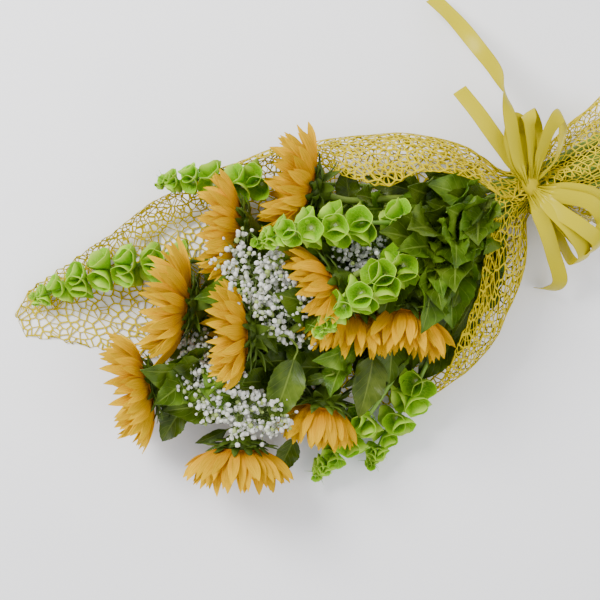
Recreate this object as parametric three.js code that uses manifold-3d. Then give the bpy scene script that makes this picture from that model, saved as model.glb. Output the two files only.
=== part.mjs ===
// A bunch of sunflowers with bells of Ireland, baby's breath and leaves, wrapped in web netting,
// tied with a ribbon bow and lying on its side. Millimetres, +Z up, +X from the blooms to the cut ends.
import * as THREE from 'three';
import { mergeVertices } from 'three/addons/utils/BufferGeometryUtils.js';
import Module from 'manifold-3d';

const wasm = await Module();
wasm.setup();
const { Manifold, Mesh: SolidMesh } = wasm;

// Driving dimensions
const tie = { x: 330, z: 36, radius: 29 };                 // the waist where the ribbon holds the stems
const cutEnds = { x: 478, spreadY: 1.3, spreadZ: 0.9, y: -12, z: 37 };
const beyondTie = [0.35, 1];  // where the last two points of a stem lie, as shares
const clear = 0.4;                                         // air kept between pieces that nearly touch
const seat = 0.3;                                          // air under a piece that rests on another
const floorClear = 3.2;                                    // plants lie on the netting's strands
const ring = { inner: 18.5, outer: 26, height: 2.6 };      // the ring of tissue that the petals grow from
const disc = { radius: 17.2, height: 8, relief: 0.9, sides: 10 };
const calyx = { radius: 25, depth: 26 };
const neck = 34;                                           // straight stem behind a head
const petal = { perLayer: 13, width: 16, thickness: 1.3, fold: 1.6 };
const bract = { length: 30, width: 11, thickness: 1.4, fold: -0.8, count: 9 };
const stalk = { width: 3.2, bend: 14 };  // a leaf's stalk, and how far before the blade it bends
const leafThickness = 1.5;
const fillLeaf = { shares: [0.3, 0.68], stalk: 20, length: 46, width: [24, 36] };
const stemGap = 0.35;  // air between the stems, pressed together in the tie
const stemRadius = { sunflower: 4.6, bells: 2.8, breath: 1.5 };
const bell = { length: 23, rim: 16, sides: 6, perWhorl: 3 };
const spine = { length: 17, radius: 1.1 };
const floret = { radius: 4.4, depth: 3.52, foot: 0.8 };
const strand = { width: 3.8, height: 1.9 };
const ribbon = { width: 20, thickness: 1, band: 11, overNet: 2.3, atKnot: 5, gatherLength: 55, step: 25 };
const finestDetail = 0.05;                                 // slivers under this are taken out
const finestEdge = 1e-3;                                   // shorter edges are closed up
const offset = [-63.5, -24.8, 0];                            // puts the origin under the middle of the box

// Stems are pushed apart in rounds: how strongly, and the room kept round each head, ahead of its centre
const settling = { rounds: 260, lastFree: 20, push: 0.55, smooth: 0.12, headPush: 0.4, stepLength: 50 };
const headGuards = [{ ahead: 26, radius: 42 }, { ahead: -9, radius: 31 }];

// Sunflower heads: centre of the petal ring, direction faced in degrees from +X, tilt, petal length,
// and how far the outer and inner petals open from the direction faced
const heads = [
  { at: [73, 118, 112], faces: 139, tilt: 2, length: 66, outer: 66, inner: 42 },
  { at: [-28, 113, 100], faces: 152, tilt: 0, length: 60, outer: 60, inner: 38 },
  { at: [-132, 53, 94], faces: 146, tilt: 0, length: 68, outer: 67, inner: 43 },
  { at: [-222, -13, 74], faces: 167, tilt: 6, length: 64, outer: 66, inner: 44 },
  { at: [-78, -9, 130], faces: 155, tilt: 4, length: 57, outer: 60, inner: 40 },
  { at: [48, -3, 142], faces: 181, tilt: 0, length: 58, outer: 60, inner: 40 },
  { at: [56, -44, 110], faces: 236, tilt: -6, length: 57, outer: 58, inner: 36 },
  { at: [113, -68, 108], faces: 234, tilt: 0, length: 64, outer: 50, inner: 32 },
  { at: [-35, -134, 66], faces: 232, tilt: -4, length: 52, outer: 36, inner: 22 },
  { at: [-154, -138, 68], faces: 241, tilt: 0, length: 60, outer: 58, inner: 36 },
];

// Bells of Ireland: the stem's course from its tip, before it turns to the tie
const bellStems = [
  { whorls: 4, course: [[-90, 215, 60], [-48, 197, 66], [-10, 172, 68], [23, 160, 62]] },
  {
    whorls: 6,
    course: [[-311, 155, 24], [-265, 151, 28], [-221, 149, 32], [-169, 134, 40], [-107, 108, 42]],
  },
  { whorls: 5, course: [[-11, 84, 176], [20, 82, 176], [68, 69, 160], [115, 50, 140], [159, 33, 122]] },
  { whorls: 4, course: [[9, -43, 184], [48, -28, 180], [84, -25, 168], [135, -16, 138]] },
  { whorls: 4, course: [[-78, -215, 26], [-52, -203, 34], [-20, -191, 42], [20, -172, 52]] },
  { whorls: 4, course: [[-7, -233, 22], [25, -206, 26], [54, -191, 34], [98, -160, 44]] },
];

// Baby's breath: the spray's spine from its tip, before it turns to the tie, its florets and its reach
const breathStems = [
  {
    florets: 30,
    reach: 32,
    course: [[-40, 78, 136], [-34, 40, 134], [-26, 4, 124], [-20, -28, 104], [0, -40, 68]],
  },
  { florets: 30, reach: 32, course: [[-163, 5, 70], [-149, -48, 88], [-126, -98, 90], [-88, -118, 74]] },
  { florets: 10, reach: 18, course: [[82, 18, 112], [106, 8, 106], [140, 2, 98]] },
];

// Large leaves that show: where the blade starts, where its tip lies, and its width
const showLeaves = [
  { from: [-93, 48, 104], to: [-82, 108, 92], width: 26 },
  { from: [-150, 8, 84], to: [-218, -22, 60], width: 32 },
  { from: [-191, -56, 62], to: [-245, -88, 34], width: 38 },
  { from: [-182, -22, 60], to: [-236, -72, 44], width: 22 },
  { from: [-38, -19, 122], to: [-45, 41, 118], width: 24 },
  { from: [-57, -9, 112], to: [-55, -50, 106], width: 15 },
  { from: [-39, -63, 114], to: [-101, -124, 98], width: 46 },
  { from: [-12, -102, 92], to: [-47, -96, 84], width: 15 },
  { from: [53, -105, 92], to: [1, -169, 82], width: 44 },
  { from: [157, -61, 116], to: [136, -112, 96], width: 42 },
  { from: [-87, -160, 48], to: [-126, -192, 26], width: 30 },
  { from: [-160, -110, 58], to: [-206, -108, 48], width: 15 },
  { from: [191, 65, 76], to: [143, 108, 70], width: 28 },
  { from: [113, 84, 78], to: [127, 128, 70], width: 32 },
  { from: [145, 66, 84], to: [98, 82, 72], width: 28 },
  { from: [272, 14, 82], to: [200, 38, 100], width: 44 },
  { from: [268, 34, 72], to: [205, 66, 86], width: 36 },
  { from: [262, -2, 80], to: [212, -8, 100], width: 34 },
  { from: [205, -22, 96], to: [165, 18, 106], width: 26 },
  { from: [246, -22, 78], to: [196, -30, 98], width: 34 },
  { from: [218, -46, 82], to: [158, -42, 100], width: 34 },
  { from: [121, -25, 106], to: [139, 8, 112], width: 28 },
  { from: [98, 9, 104], to: [47, 50, 96], width: 30 },
  { from: [62, 57, 96], to: [14, 60, 86], width: 22 },
  { from: [198, 25, 84], to: [160, 64, 88], width: 28 },
  { from: [185, -86, 84], to: [140, -122, 74], width: 30 },
  { from: [156, -112, 62], to: [112, -152, 50], width: 30 },
  { from: [-20, 20, 90], to: [-60, 40, 84], width: 24 },
  { from: [-2, -60, 84], to: [-6, -6, 80], width: 34 },
  { from: [-92, -42, 72], to: [-112, 18, 64], width: 32 },
  { from: [150, 6, 80], to: [134, 58, 74], width: 34 },
  { from: [84, 22, 78], to: [78, 70, 66], width: 34 },
  { from: [4, 34, 84], to: [-36, 6, 76], width: 30 },
  { from: [122, -100, 72], to: [70, -138, 60], width: 34 },
];

// Netting: cross sections along +X, each x, then [y, z] of the low edge, low side, high side and high edge,
// then the height of its floor and how much the section is rounded at the waist
const wrapSections = [
  [-352, [116, 0], [120, 0], [146, 1], [152, 4]],
  [-325, [98, 0], [106, 0], [162, 2], [172, 8]],
  [-265, [54, 0], [68, 0], [166, 3], [181, 14]],
  [-200, [6, 0], [24, 0], [172, 6], [188, 26]],
  [-120, [-54, 0], [-32, 0], [186, 14], [203, 42]],
  [-30, [-122, 0], [-98, 0], [192, 24], [203, 58]],
  [60, [-196, 3], [-172, 0], [190, 34], [182, 76]],
  [110, [-186, 40], [-191, 16], [180, 42], [128, 98]],
  [160, [-136, 92], [-182, 34], [162, 48], [74, 116]],
  [210, [-88, 108], [-161, 42], [142, 48], [80, 112]],
  [255, [-24, 112], [-121, 46], [113, 48], [52, 108]],
  [290, [8, 98], [-88, 46], [84, 46], [20, 96], 2, 0],
  [314, [-4, 65], [-30, 36], [30, 36], [4, 65], 6, 9],
  [346, [-4, 65], [-30, 36], [30, 36], [4, 65], 6, 9],
  [372, [-9, 72], [-66, 34], [36, 36], [3, 72], 1, 4],
  [418, [-20, 76], [-84, 34], [54, 38], [-4, 76]],
  [474, [-26, 80], [-96, 34], [70, 38], [-4, 80]],
].map(([x, lowEdge, lowSide, highSide, highEdge, floor = 0, lift = 0]) => (
  { x, lowEdge, lowSide, highSide, highEdge, floor, lift }
));
const web = { along: 30, around: 9, jitter: 0.3, shoulder: 0.2 };

// Ribbon strips: [x, y, z, roll] where roll turns the width about the strip's own line. Where a strip leaves
// the knot or comes back to it, out and back give the place on the knot's ellipsoid, from its centre
const knot = { at: [332, 2, 75], size: [13, 12, 8.5], turn: 0.35 };
const ribbonStrips = [
  {
    out: [1, 5, 3], back: [-2, 5, -5],
    path: [[349, 38, 92, 40], [361, 75, 100, 50], [368, 88, 88, 60], [370, 66, 72, 70], [348, 28, 70, 80]],
  },
  {
    out: [7, 4, 2], back: [9, 3, -3],
    path: [[357, 30, 88, 30], [384, 58, 98, 40], [405, 66, 86, 50], [402, 50, 74, 60], [374, 18, 80, 70]],
  },
  {
    out: [4, -5, 4], back: [7, -5, -1],
    path: [
      [352, -22, 94, 20], [386, -52, 104, 30], [392, -84, 90, 40], [372, -96, 80, 50], [356, -56, 80, 60],
    ],
  },
  {
    out: [-1, -5, 4], back: [1, -5, -5],
    path: [
      [338, -34, 96, -20], [350, -76, 98, -10], [354, -108, 80, 0], [342, -112, 56, 10], [338, -72, 62, 20],
    ],
  },
  {
    out: [-7, -4, 0],
    path: [
      [324, -50, 82, 10], [320, -92, 70, 0], [316, -128, 46, 10], [304, -132, 22, 30], [292, -124, 10, 20],
    ],
  },
  { out: [-8, 5, -3], path: [[324, 40, 74, 10], [316, 84, 82, 0], [311, 118, 78, 0], [305, 154, 66, 0]] },
  {
    out: [-6, 3, 6],
    path: [
      [330, 48, 98, 20], [340, 92, 110, 30], [350, 124, 100, 75], [354, 152, 88, 125],
      [348, 196, 76, 160], [342, 240, 54, 175], [334, 284, 20, 180],
    ],
  },
];

// Small helpers
const vec = (p) => new THREE.Vector3(...p);
const degrees = THREE.MathUtils.degToRad;
const up = new THREE.Vector3(0, 0, 1);

function seededDraw(seed) {
  let state = seed;
  return () => {
    state = (state + 0x6d2b79f5) | 0;
    let t = Math.imul(state ^ (state >>> 15), 1 | state);
    t = (t + Math.imul(t ^ (t >>> 7), 61 | t)) ^ t;
    return ((t ^ (t >>> 14)) >>> 0) / 4294967296;
  };
}

function direction(facing, tilt) {
  return new THREE.Vector3(
    Math.cos(degrees(facing)) * Math.cos(degrees(tilt)),
    Math.sin(degrees(facing)) * Math.cos(degrees(tilt)),
    Math.sin(degrees(tilt)),
  );
}

function pointAt(origin, ...terms) {
  const point = origin.clone();
  for (const [axis, amount] of terms) point.addScaledVector(axis, amount);
  return point;
}

// Points and triangles become a closed solid that faces outwards
function solidFrom(points, triangles) {
  const geometry = new THREE.BufferGeometry();
  const numbers = points.flatMap((p) => [p.x, p.y, p.z]);
  geometry.setAttribute('position', new THREE.Float32BufferAttribute(numbers, 3));
  geometry.setIndex(triangles.flat());
  return solidFromGeometry(geometry);
}

function solidFromGeometry(source, weld = 1e-4) {
  const geometry = source.clone();
  geometry.deleteAttribute('normal');
  geometry.deleteAttribute('uv');
  const merged = mergeVertices(geometry, weld);
  const points = merged.attributes.position.array;
  const kept = [];
  for (let i = 0; i < merged.index.count; i += 3) {
    const [a, b, c] = [0, 1, 2].map((n) => merged.index.getX(i + n));
    if (a !== b && b !== c && c !== a) kept.push(a, b, c);
  }
  const corner = (n) => new THREE.Vector3(points[3 * n], points[3 * n + 1], points[3 * n + 2]);
  let volume = 0;
  for (let i = 0; i < kept.length; i += 3) {
    volume += corner(kept[i]).dot(corner(kept[i + 1]).cross(corner(kept[i + 2])));
  }
  if (volume < 0) kept.reverse();
  return new Manifold(new SolidMesh({
    numProp: 3,
    vertProperties: new Float32Array(points),
    triVerts: new Uint32Array(kept),
  }));
}

// A skin over rings of points, or one point at an end. Both faces of a blade split alike: its rings start at
// an edge, or with strip at a corner
function skin(rings, strip = false) {
  const points = [];
  const starts = rings.map((loop) => {
    points.push(...loop);
    return points.length - loop.length;
  });
  const sides = Math.max(...rings.map((loop) => loop.length));
  const triangles = [];
  for (let i = 0; i + 1 < rings.length; i += 1) {
    for (let k = 0; k < sides; k += 1) {
      const next = (k + 1) % sides;
      const [a, b, c, d] = [starts[i] + k, starts[i] + next, starts[i + 1] + next, starts[i + 1] + k];
      if (rings[i].length === 1) triangles.push([starts[i], c, d]);
      else if (rings[i + 1].length === 1) triangles.push([a, b, starts[i + 1]]);
      else if (strip ? k === 1 : k % 2) triangles.push([a, b, d], [b, c, d]);
      else triangles.push([a, b, c], [a, c, d]);
    }
  }
  const cap = (start, flip) => {
    for (let k = 1; k + 1 < sides; k += 1) {
      triangles.push(flip ? [start, start + k + 1, start + k] : [start, start + k, start + k + 1]);
    }
  };
  if (rings[0].length > 1) cap(starts[0], true);
  if (rings[rings.length - 1].length > 1) cap(starts[rings.length - 1], false);
  return solidFrom(points, triangles);
}

// A blade's ring: left edge, top of the midrib, right edge, underside of the midrib
function bladeRing(center, side, normal, halfWidth, fold, thickness) {
  return [
    pointAt(center, [side, halfWidth], [normal, fold]),
    pointAt(center, [normal, thickness / 2]),
    pointAt(center, [side, -halfWidth], [normal, fold]),
    pointAt(center, [normal, -thickness / 2]),
  ];
}

// A round stem or stalk along a line of points
function tube(points, radii, sides) {
  let side = new THREE.Vector3().crossVectors(up, points[1].clone().sub(points[0])).normalize();
  const rings = points.map((point, i) => {
    const ahead = points[Math.min(i + 1, points.length - 1)];
    const tangent = ahead.clone().sub(points[Math.max(i - 1, 0)]).normalize();
    side = side.clone().addScaledVector(tangent, -side.dot(tangent)).normalize();
    const other = new THREE.Vector3().crossVectors(tangent, side);
    return Array.from({ length: sides }, (_, k) => {
      const angle = (2 * Math.PI * k) / sides;
      return pointAt(point, [side, radii[i] * Math.cos(angle)], [other, radii[i] * Math.sin(angle)]);
    });
  });
  return skin(rings);
}

// Every solid placed so far, so that later ones are bent clear of the other nodes
const placed = [];
const nodes = new Map();

function boxesMeet(a, b) {
  return [0, 1, 2].every((i) => a.min[i] <= b.max[i] && b.min[i] <= a.max[i]);
}

function meetsOthers(name, solid, apart) {
  const box = solid.boundingBox();
  const keptOff = (item) => item.name !== name || (apart && item.apart);
  return placed.some((item) => (
    keptOff(item) && boxesMeet(box, item.box) && !solid.intersect(item.solid).isEmpty()
  ));
}

// A guard only keeps its room: its shape is part of a solid that is fused later
function place(name, colour, solid, { guard = false, apart = false } = {}) {
  placed.push({ name, solid, apart, box: solid.boundingBox() });
  if (!nodes.has(name)) nodes.set(name, { colour, solids: [] });
  if (!guard) nodes.get(name).solids.push(solid);
}

// Gives the first try whose grown form is clear of the other nodes, and with apart of its own kind too
function firstClear(name, tries, make, apart = false) {
  const attempts = Array.from({ length: tries }, (_, attempt) => attempt);
  return attempts.find((attempt) => {
    const grown = make(attempt, clear);
    return grown.boundingBox().min[2] > 2 * clear && !meetsOthers(name, grown, apart);
  });
}

function placeClear(name, colour, tries, make, options = {}) {
  const attempt = firstClear(name, tries, make, options.apart);
  if (attempt === undefined) return false;
  place(name, colour, make(attempt, 0), options);
  return true;
}

// Stems pushed apart until each has its own room through the tie
function startCourse(course, facing, slot) {
  const waist = new THREE.Vector3(tie.x, slot[0], tie.z + slot[1]);
  const points = course.map(vec);
  const last = points[points.length - 1];
  const reach = last.distanceTo(waist);
  const curve = new THREE.CubicBezierCurve3(
    last,
    pointAt(last, [facing, reach * 0.32]),
    pointAt(waist, [new THREE.Vector3(-1, 0, 0), reach * 0.38]),
    waist,
  );
  const steps = Math.max(4, Math.round(reach / settling.stepLength));
  for (let i = 1; i <= steps; i += 1) points.push(curve.getPoint(i / steps));
  for (const share of beyondTie) {
    points.push(new THREE.Vector3(
      tie.x + share * (cutEnds.x - tie.x),
      slot[0] * (1 + share * cutEnds.spreadY) + share * cutEnds.y,
      tie.z + share * (cutEnds.z - tie.z) + slot[1] * (1 + share * cutEnds.spreadZ),
    ));
  }
  return { points, waistIndex: points.length - 1 - beyondTie.length };
}

function nearestOnSegments(a, b, c, d) {
  const u = b.clone().sub(a);
  const v = d.clone().sub(c);
  const w = a.clone().sub(c);
  const [uu, uv, vv, uw, vw] = [u.dot(u), u.dot(v), v.dot(v), u.dot(w), v.dot(w)];
  const det = uu * vv - uv * uv;
  let s = det > 1e-9 ? THREE.MathUtils.clamp((uv * vw - vv * uw) / det, 0, 1) : 0.5;
  const t = THREE.MathUtils.clamp((uv * s + vw) / vv, 0, 1);
  s = THREE.MathUtils.clamp((uv * t - uw) / uu, 0, 1);
  return [s, t, pointAt(a, [u, s]).sub(pointAt(c, [v, t]))];
}

function pushApart(one, two) {
  const need = one.radius + two.radius + stemGap;
  for (let i = 0; i + 1 < one.points.length; i += 1) {
    for (let k = 0; k + 1 < two.points.length; k += 1) {
      const [a, b, c, d] = [one.points[i], one.points[i + 1], two.points[k], two.points[k + 1]];
      const [s, t, between] = nearestOnSegments(a, b, c, d);
      const distance = between.length();
      if (distance >= need) continue;
      if (distance < 1e-6) between.set(0, 0.6, 0.8);
      between.normalize().multiplyScalar((need - distance) * settling.push);
      if (i >= one.fixed) a.addScaledVector(between, 1 - s);
      if (i + 1 >= one.fixed) b.addScaledVector(between, s);
      if (k >= two.fixed) c.addScaledVector(between, t - 1);
      if (k + 1 >= two.fixed) d.addScaledVector(between, -t);
    }
  }
}

// Round the tie the stems stay inside the netting, which flares out from it
const tieRoom = tie.radius - strand.height - 2.6;
const flare = { from: 22, to: 120, slope: 0.34 };

function keepInBounds(stem) {
  for (let i = stem.fixed; i < stem.points.length; i += 1) {
    const point = stem.points[i];
    point.z = Math.max(point.z, stem.radius + floorClear);
    const away = Math.abs(point.x - tie.x);
    const room = tieRoom - stem.radius + Math.max(0, away - flare.from) * flare.slope;
    const centre = point.x > tie.x + 12 ? cutEnds.y * (away / (cutEnds.x - tie.x)) : 0;
    const radial = Math.hypot(point.y - centre, point.z - tie.z);
    if (radial > room && away < flare.to) {
      point.y = centre + ((point.y - centre) * room) / radial;
      point.z = tie.z + ((point.z - tie.z) * room) / radial;
    }
  }
  stem.points[stem.waistIndex].x = tie.x;
}

function keepOffHeads(stem) {
  heads.forEach((item, n) => {
    if (stem.head === n) return;
    for (const guard of headGuards) {
      const centre = pointAt(vec(item.at), [direction(item.faces, item.tilt), guard.ahead]);
      for (let i = stem.fixed - 1; i + 1 < stem.points.length; i += 1) {
        const [a, b] = [stem.points[i], stem.points[i + 1]];
        const along = b.clone().sub(a);
        const t = THREE.MathUtils.clamp(centre.clone().sub(a).dot(along) / along.lengthSq(), 0, 1);
        const away = pointAt(a, [along, t]).sub(centre);
        const overlap = guard.radius + stem.radius - away.length();
        if (overlap <= 0) continue;
        away.normalize().multiplyScalar(overlap * settling.headPush);
        if (i >= stem.fixed) a.addScaledVector(away, 1 - t);
        b.addScaledVector(away, t);
      }
    }
  });
}

function smoothCourse(stem) {
  for (let i = stem.fixed; i + 1 < stem.points.length; i += 1) {
    if (i === stem.waistIndex) continue;
    const middle = stem.points[i - 1].clone().add(stem.points[i + 1]).multiplyScalar(0.5);
    stem.points[i].lerp(middle, settling.smooth);
  }
}

function settleStems() {
  const stems = [];
  const within = (value) => THREE.MathUtils.clamp(value, -15, 15);
  const slotOf = (at) => [within(at[1] / 9), within((at[2] - 88) / 5)];
  heads.forEach((item, n) => {
    const facing = direction(item.faces, item.tilt);
    const inCalyx = pointAt(vec(item.at), [facing, -0.54 * calyx.depth]);
    const neckEnd = pointAt(inCalyx, [facing, -neck]);
    const course = [inCalyx.toArray(), neckEnd.toArray()];
    const start = startCourse(course, facing.clone().negate(), slotOf(item.at));
    const fixed = course.length;
    stems.push({ ...start, name: `sunflower_${n + 1}_stem`, radius: stemRadius.sunflower, fixed, head: n });
  });
  const growFrom = (list, prefix, radius) => list.forEach((item, n) => {
    const last = vec(item.course[item.course.length - 1]);
    const before = vec(item.course[item.course.length - 2]);
    const start = startCourse(item.course, last.clone().sub(before).normalize(), slotOf(last.toArray()));
    const fixed = item.course.length;
    stems.push({ ...start, name: `${prefix}_${n + 1}`, radius, fixed });
  });
  growFrom(bellStems, 'bells_of_ireland', stemRadius.bells);
  growFrom(breathStems, 'babys_breath', stemRadius.breath);
  for (let round = 0; round < settling.rounds; round += 1) {
    for (const stem of stems) {
      smoothCourse(stem);
      if (round < settling.rounds - settling.lastFree) keepOffHeads(stem);
    }
    for (let i = 0; i < stems.length; i += 1) {
      for (let k = i + 1; k < stems.length; k += 1) pushApart(stems[i], stems[k]);
    }
    stems.forEach(keepInBounds);
  }
  return stems;
}

// Netting
function wrapSection(x) {
  let i = 0;
  while (i + 2 < wrapSections.length && wrapSections[i + 1].x < x) i += 1;
  const [a, b] = [wrapSections[i], wrapSections[i + 1]];
  const share = (x - a.x) / (b.x - a.x);
  const mix = (p, q) => p + (q - p) * share;
  const pair = (key) => [mix(a[key][0], b[key][0]), mix(a[key][1], b[key][1])];
  const [lowSide, highSide] = [pair('lowSide'), pair('highSide')];
  const floor = mix(a.floor, b.floor);
  const lift = mix(a.lift, b.lift);
  const [lowEdge, highEdge] = [pair('lowEdge'), pair('highEdge')];
  const across = (part) => lowSide[0] + (highSide[0] - lowSide[0]) * part;
  const shoulder = (p, q) => [
    (p[0] + q[0]) / 2 - (p[1] - q[1]) * web.shoulder,
    Math.max((p[1] + q[1]) / 2 + (p[0] - q[0]) * web.shoulder, 0),
  ];
  const outline = [
    lowEdge, shoulder(lowEdge, lowSide), lowSide, [across(0.18), floor + lift], [across(0.5), floor],
    [across(0.82), floor + lift], highSide, shoulder(highSide, highEdge), highEdge,
  ];
  return new THREE.CatmullRomCurve3(outline.map(([y, z]) => new THREE.Vector3(x, y, z)));
}

function wrapPoint(x, around) {
  const point = wrapSection(x).getPointAt(THREE.MathUtils.clamp(around, 0, 1));
  point.z = Math.max(point.z, 0);
  return point;
}

function webNodes() {
  const draw = seededDraw(11);
  const first = wrapSections[0].x;
  const length = wrapSections[wrapSections.length - 1].x - first;
  const step = length / web.along;
  const grid = [];
  for (let i = 0; i <= web.along; i += 1) {
    const even = first + step * i;
    const underBand = Math.abs(even - tie.x) < step;
    for (let k = 0; k <= web.around; k += 1) {
      const inner = k > 0 && k < web.around;
      const shift = i > 0 && i < web.along ? (draw() - 0.5) * 2 * web.jitter : 0;
      const x = underBand ? tie.x + Math.sign(even - tie.x) * ribbon.band : even + step * shift;
      const gathered = Math.abs(x - tie.x) < 2 * tie.radius ? 0.3 : 1;
      const turn = inner ? (draw() - 0.5) * 2 * web.jitter * gathered : 0;
      const around = (k + turn) / web.around;
      const point = wrapPoint(x, around);
      const behind = wrapPoint(Math.max(x - 2, first), around);
      const alongStep = wrapPoint(Math.min(x + 2, first + length), around).sub(behind);
      const aroundStep = wrapPoint(x, around + 0.01).sub(wrapPoint(x, around - 0.01));
      const normal = new THREE.Vector3().crossVectors(aroundStep, alongStep).normalize();
      grid.push({ point, normal, links: [] });
    }
  }
  return grid;
}

// Cells are laid like bricks, so most knots join three strands
function linkWeb(grid) {
  const at = (i, k) => i * (web.around + 1) + k;
  const link = (a, b) => {
    grid[a].links.push({ to: b });
    grid[b].links.push({ to: a });
  };
  for (let i = 0; i <= web.along; i += 1) {
    for (let k = 0; k <= web.around; k += 1) {
      const crossLink = i === 0 || i === web.along || (i + k) % 2 === 0;
      if (i < web.along) link(at(i, k), at(i + 1, k));
      if (k < web.around && crossLink) link(at(i, k), at(i, k + 1));
    }
  }
}

function knotCorners(node, grid) {
  const reach = Math.min(...node.links.map((item) => grid[item.to].point.distanceTo(node.point)));
  const halfWidth = Math.min(strand.width / 2, reach * 0.16);
  const east = new THREE.Vector3(1, 0, 0).addScaledVector(node.normal, -node.normal.x).normalize();
  const north = new THREE.Vector3().crossVectors(node.normal, east);
  for (const item of node.links) {
    const away = grid[item.to].point.clone().sub(node.point);
    item.angle = Math.atan2(away.dot(north), away.dot(east));
  }
  node.links.sort((a, b) => a.angle - b.angle);
  node.corners = node.links.map((item, i) => {
    const after = node.links[(i + 1) % node.links.length];
    let turn = after.angle - item.angle;
    if (turn <= 0) turn += 2 * Math.PI;
    const middle = item.angle + turn / 2;
    const away = Math.min(halfWidth / Math.sin(turn / 2), reach * 0.36);
    const corner = pointAt(node.point, [east, away * Math.cos(middle)], [north, away * Math.sin(middle)]);
    corner.z = Math.max(corner.z, 0);
    return corner;
  });
  node.ridge = pointAt(node.point, [node.normal, -Math.min(strand.height, reach * 0.2)]);
}

function buildWrap() {
  const name = 'net_wrap';
  const grid = webNodes();
  linkWeb(grid);
  grid.forEach((node) => knotCorners(node, grid));
  const points = [];
  const triangles = [];
  grid.forEach((node) => {
    node.first = points.length;
    points.push(...node.corners, node.ridge);
    node.ridgeIndex = points.length - 1;
    for (let i = 1; i + 1 < node.corners.length; i += 1) {
      triangles.push([node.first, node.first + i, node.first + i + 1]);
    }
  });
  grid.forEach((node, n) => node.links.forEach((item, i) => {
    if (item.to < n) return;
    const far = grid[item.to];
    const j = far.links.findIndex((other) => other.to === n);
    const before = (list, index) => (index + list.length - 1) % list.length;
    const [nearRight, nearLeft] = [node.first + before(node.corners, i), node.first + i];
    const [farRight, farLeft] = [far.first + j, far.first + before(far.corners, j)];
    const faces = [
      [nearRight, farRight, farLeft], [nearRight, farLeft, nearLeft],
      [nearLeft, farLeft, far.ridgeIndex], [nearLeft, far.ridgeIndex, node.ridgeIndex],
      [farRight, nearRight, node.ridgeIndex], [farRight, node.ridgeIndex, far.ridgeIndex],
    ];
    triangles.push(...faces);
    const ends = [[nearRight, nearLeft, node.ridgeIndex], [farLeft, farRight, far.ridgeIndex]];
    place(name, 'net', solidFrom(points, [...faces, ...ends]), { guard: true });
  }));
  nodes.get(name).solids.push(solidFrom(points, triangles));
}

// Ribbon
function ribbonStrip({ out, back, path }) {
  const onKnot = (shift) => vec(knot.at).add(vec(shift));
  const points = [onKnot(out), ...path.map(([x, y, z]) => new THREE.Vector3(x, y, z))];
  const rolls = [path[0][3], ...path.map((item) => item[3])];
  if (back) {
    points.push(onKnot(back));
    rolls.push(rolls[rolls.length - 1]);
  }
  const curve = new THREE.CatmullRomCurve3(points);
  const steps = Math.round(curve.getLength() / ribbon.step);
  const half = ribbon.thickness / 2;
  let side = null;
  let turned = 0;
  return Array.from({ length: steps + 1 }, (_, i) => {
    const t = curve.getUtoTmapping(i / steps);
    const spot = t * (rolls.length - 1);
    const before = Math.min(Math.floor(spot), rolls.length - 2);
    const roll = degrees(rolls[before] + (rolls[before + 1] - rolls[before]) * (spot - before));
    const tangent = curve.getTangent(t);
    side = side ?? new THREE.Vector3().crossVectors(up, tangent);
    side = pointAt(side, [tangent, -side.dot(tangent)]).normalize().applyAxisAngle(tangent, roll - turned);
    turned = roll;
    const normal = new THREE.Vector3().crossVectors(tangent, side);
    const fromKnot = Math.min(i, back ? steps - i : steps) * ribbon.step;
    const spread = Math.min(1, fromKnot / ribbon.gatherLength);
    const halfWidth = (ribbon.atKnot + (ribbon.width - ribbon.atKnot) * spread) / 2;
    const centre = curve.getPoint(t);
    return [[1, 1], [1, -1], [-1, -1], [-1, 1]].map(([a, b]) => (
      pointAt(centre, [side, a * halfWidth], [normal, b * half])
    ));
  });
}

function bandSolid() {
  const inner = tie.radius + ribbon.overNet;
  const outer = inner + ribbon.thickness;
  const half = ribbon.band / 2;
  const outline = [[inner, -half], [outer, -half], [outer, half], [inner, half], [inner, -half]];
  const geometry = new THREE.LatheGeometry(outline.map(([r, y]) => new THREE.Vector2(r, y)), 16);
  geometry.rotateZ(Math.PI / 2);
  geometry.translate(tie.x, 0, tie.z);
  return solidFromGeometry(geometry);
}

function knotSolid() {
  const geometry = new THREE.SphereGeometry(1, 8, 5);
  geometry.rotateY(knot.turn);
  geometry.rotateX(knot.turn);
  geometry.scale(...knot.size);
  geometry.translate(...knot.at);
  return solidFromGeometry(geometry);
}

function buildRibbon() {
  const name = 'ribbon_bow';
  for (const solid of [bandSolid(), knotSolid()]) place(name, 'ribbon', solid);
  for (const strip of ribbonStrips) place(name, 'ribbon', skin(ribbonStrip(strip), true));
}

// Sunflowers
function headAxes(item) {
  const facing = direction(item.faces, item.tilt);
  const side = new THREE.Vector3().crossVectors(up, facing).normalize();
  const upward = new THREE.Vector3().crossVectors(facing, side);
  return { centre: vec(item.at), facing, side, upward };
}

function outward(axes, angle) {
  return pointAt(new THREE.Vector3(), [axes.side, Math.cos(angle)], [axes.upward, Math.sin(angle)]);
}

function turnToFace(geometry, axes) {
  const turn = new THREE.Quaternion().setFromUnitVectors(new THREE.Vector3(0, 1, 0), axes.facing);
  geometry.applyQuaternion(turn);
  geometry.translate(...axes.centre.toArray());
  return solidFromGeometry(geometry);
}

function lathe(outline, sides) {
  return new THREE.LatheGeometry(outline.map(([r, y]) => new THREE.Vector2(r, y)), sides);
}

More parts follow.
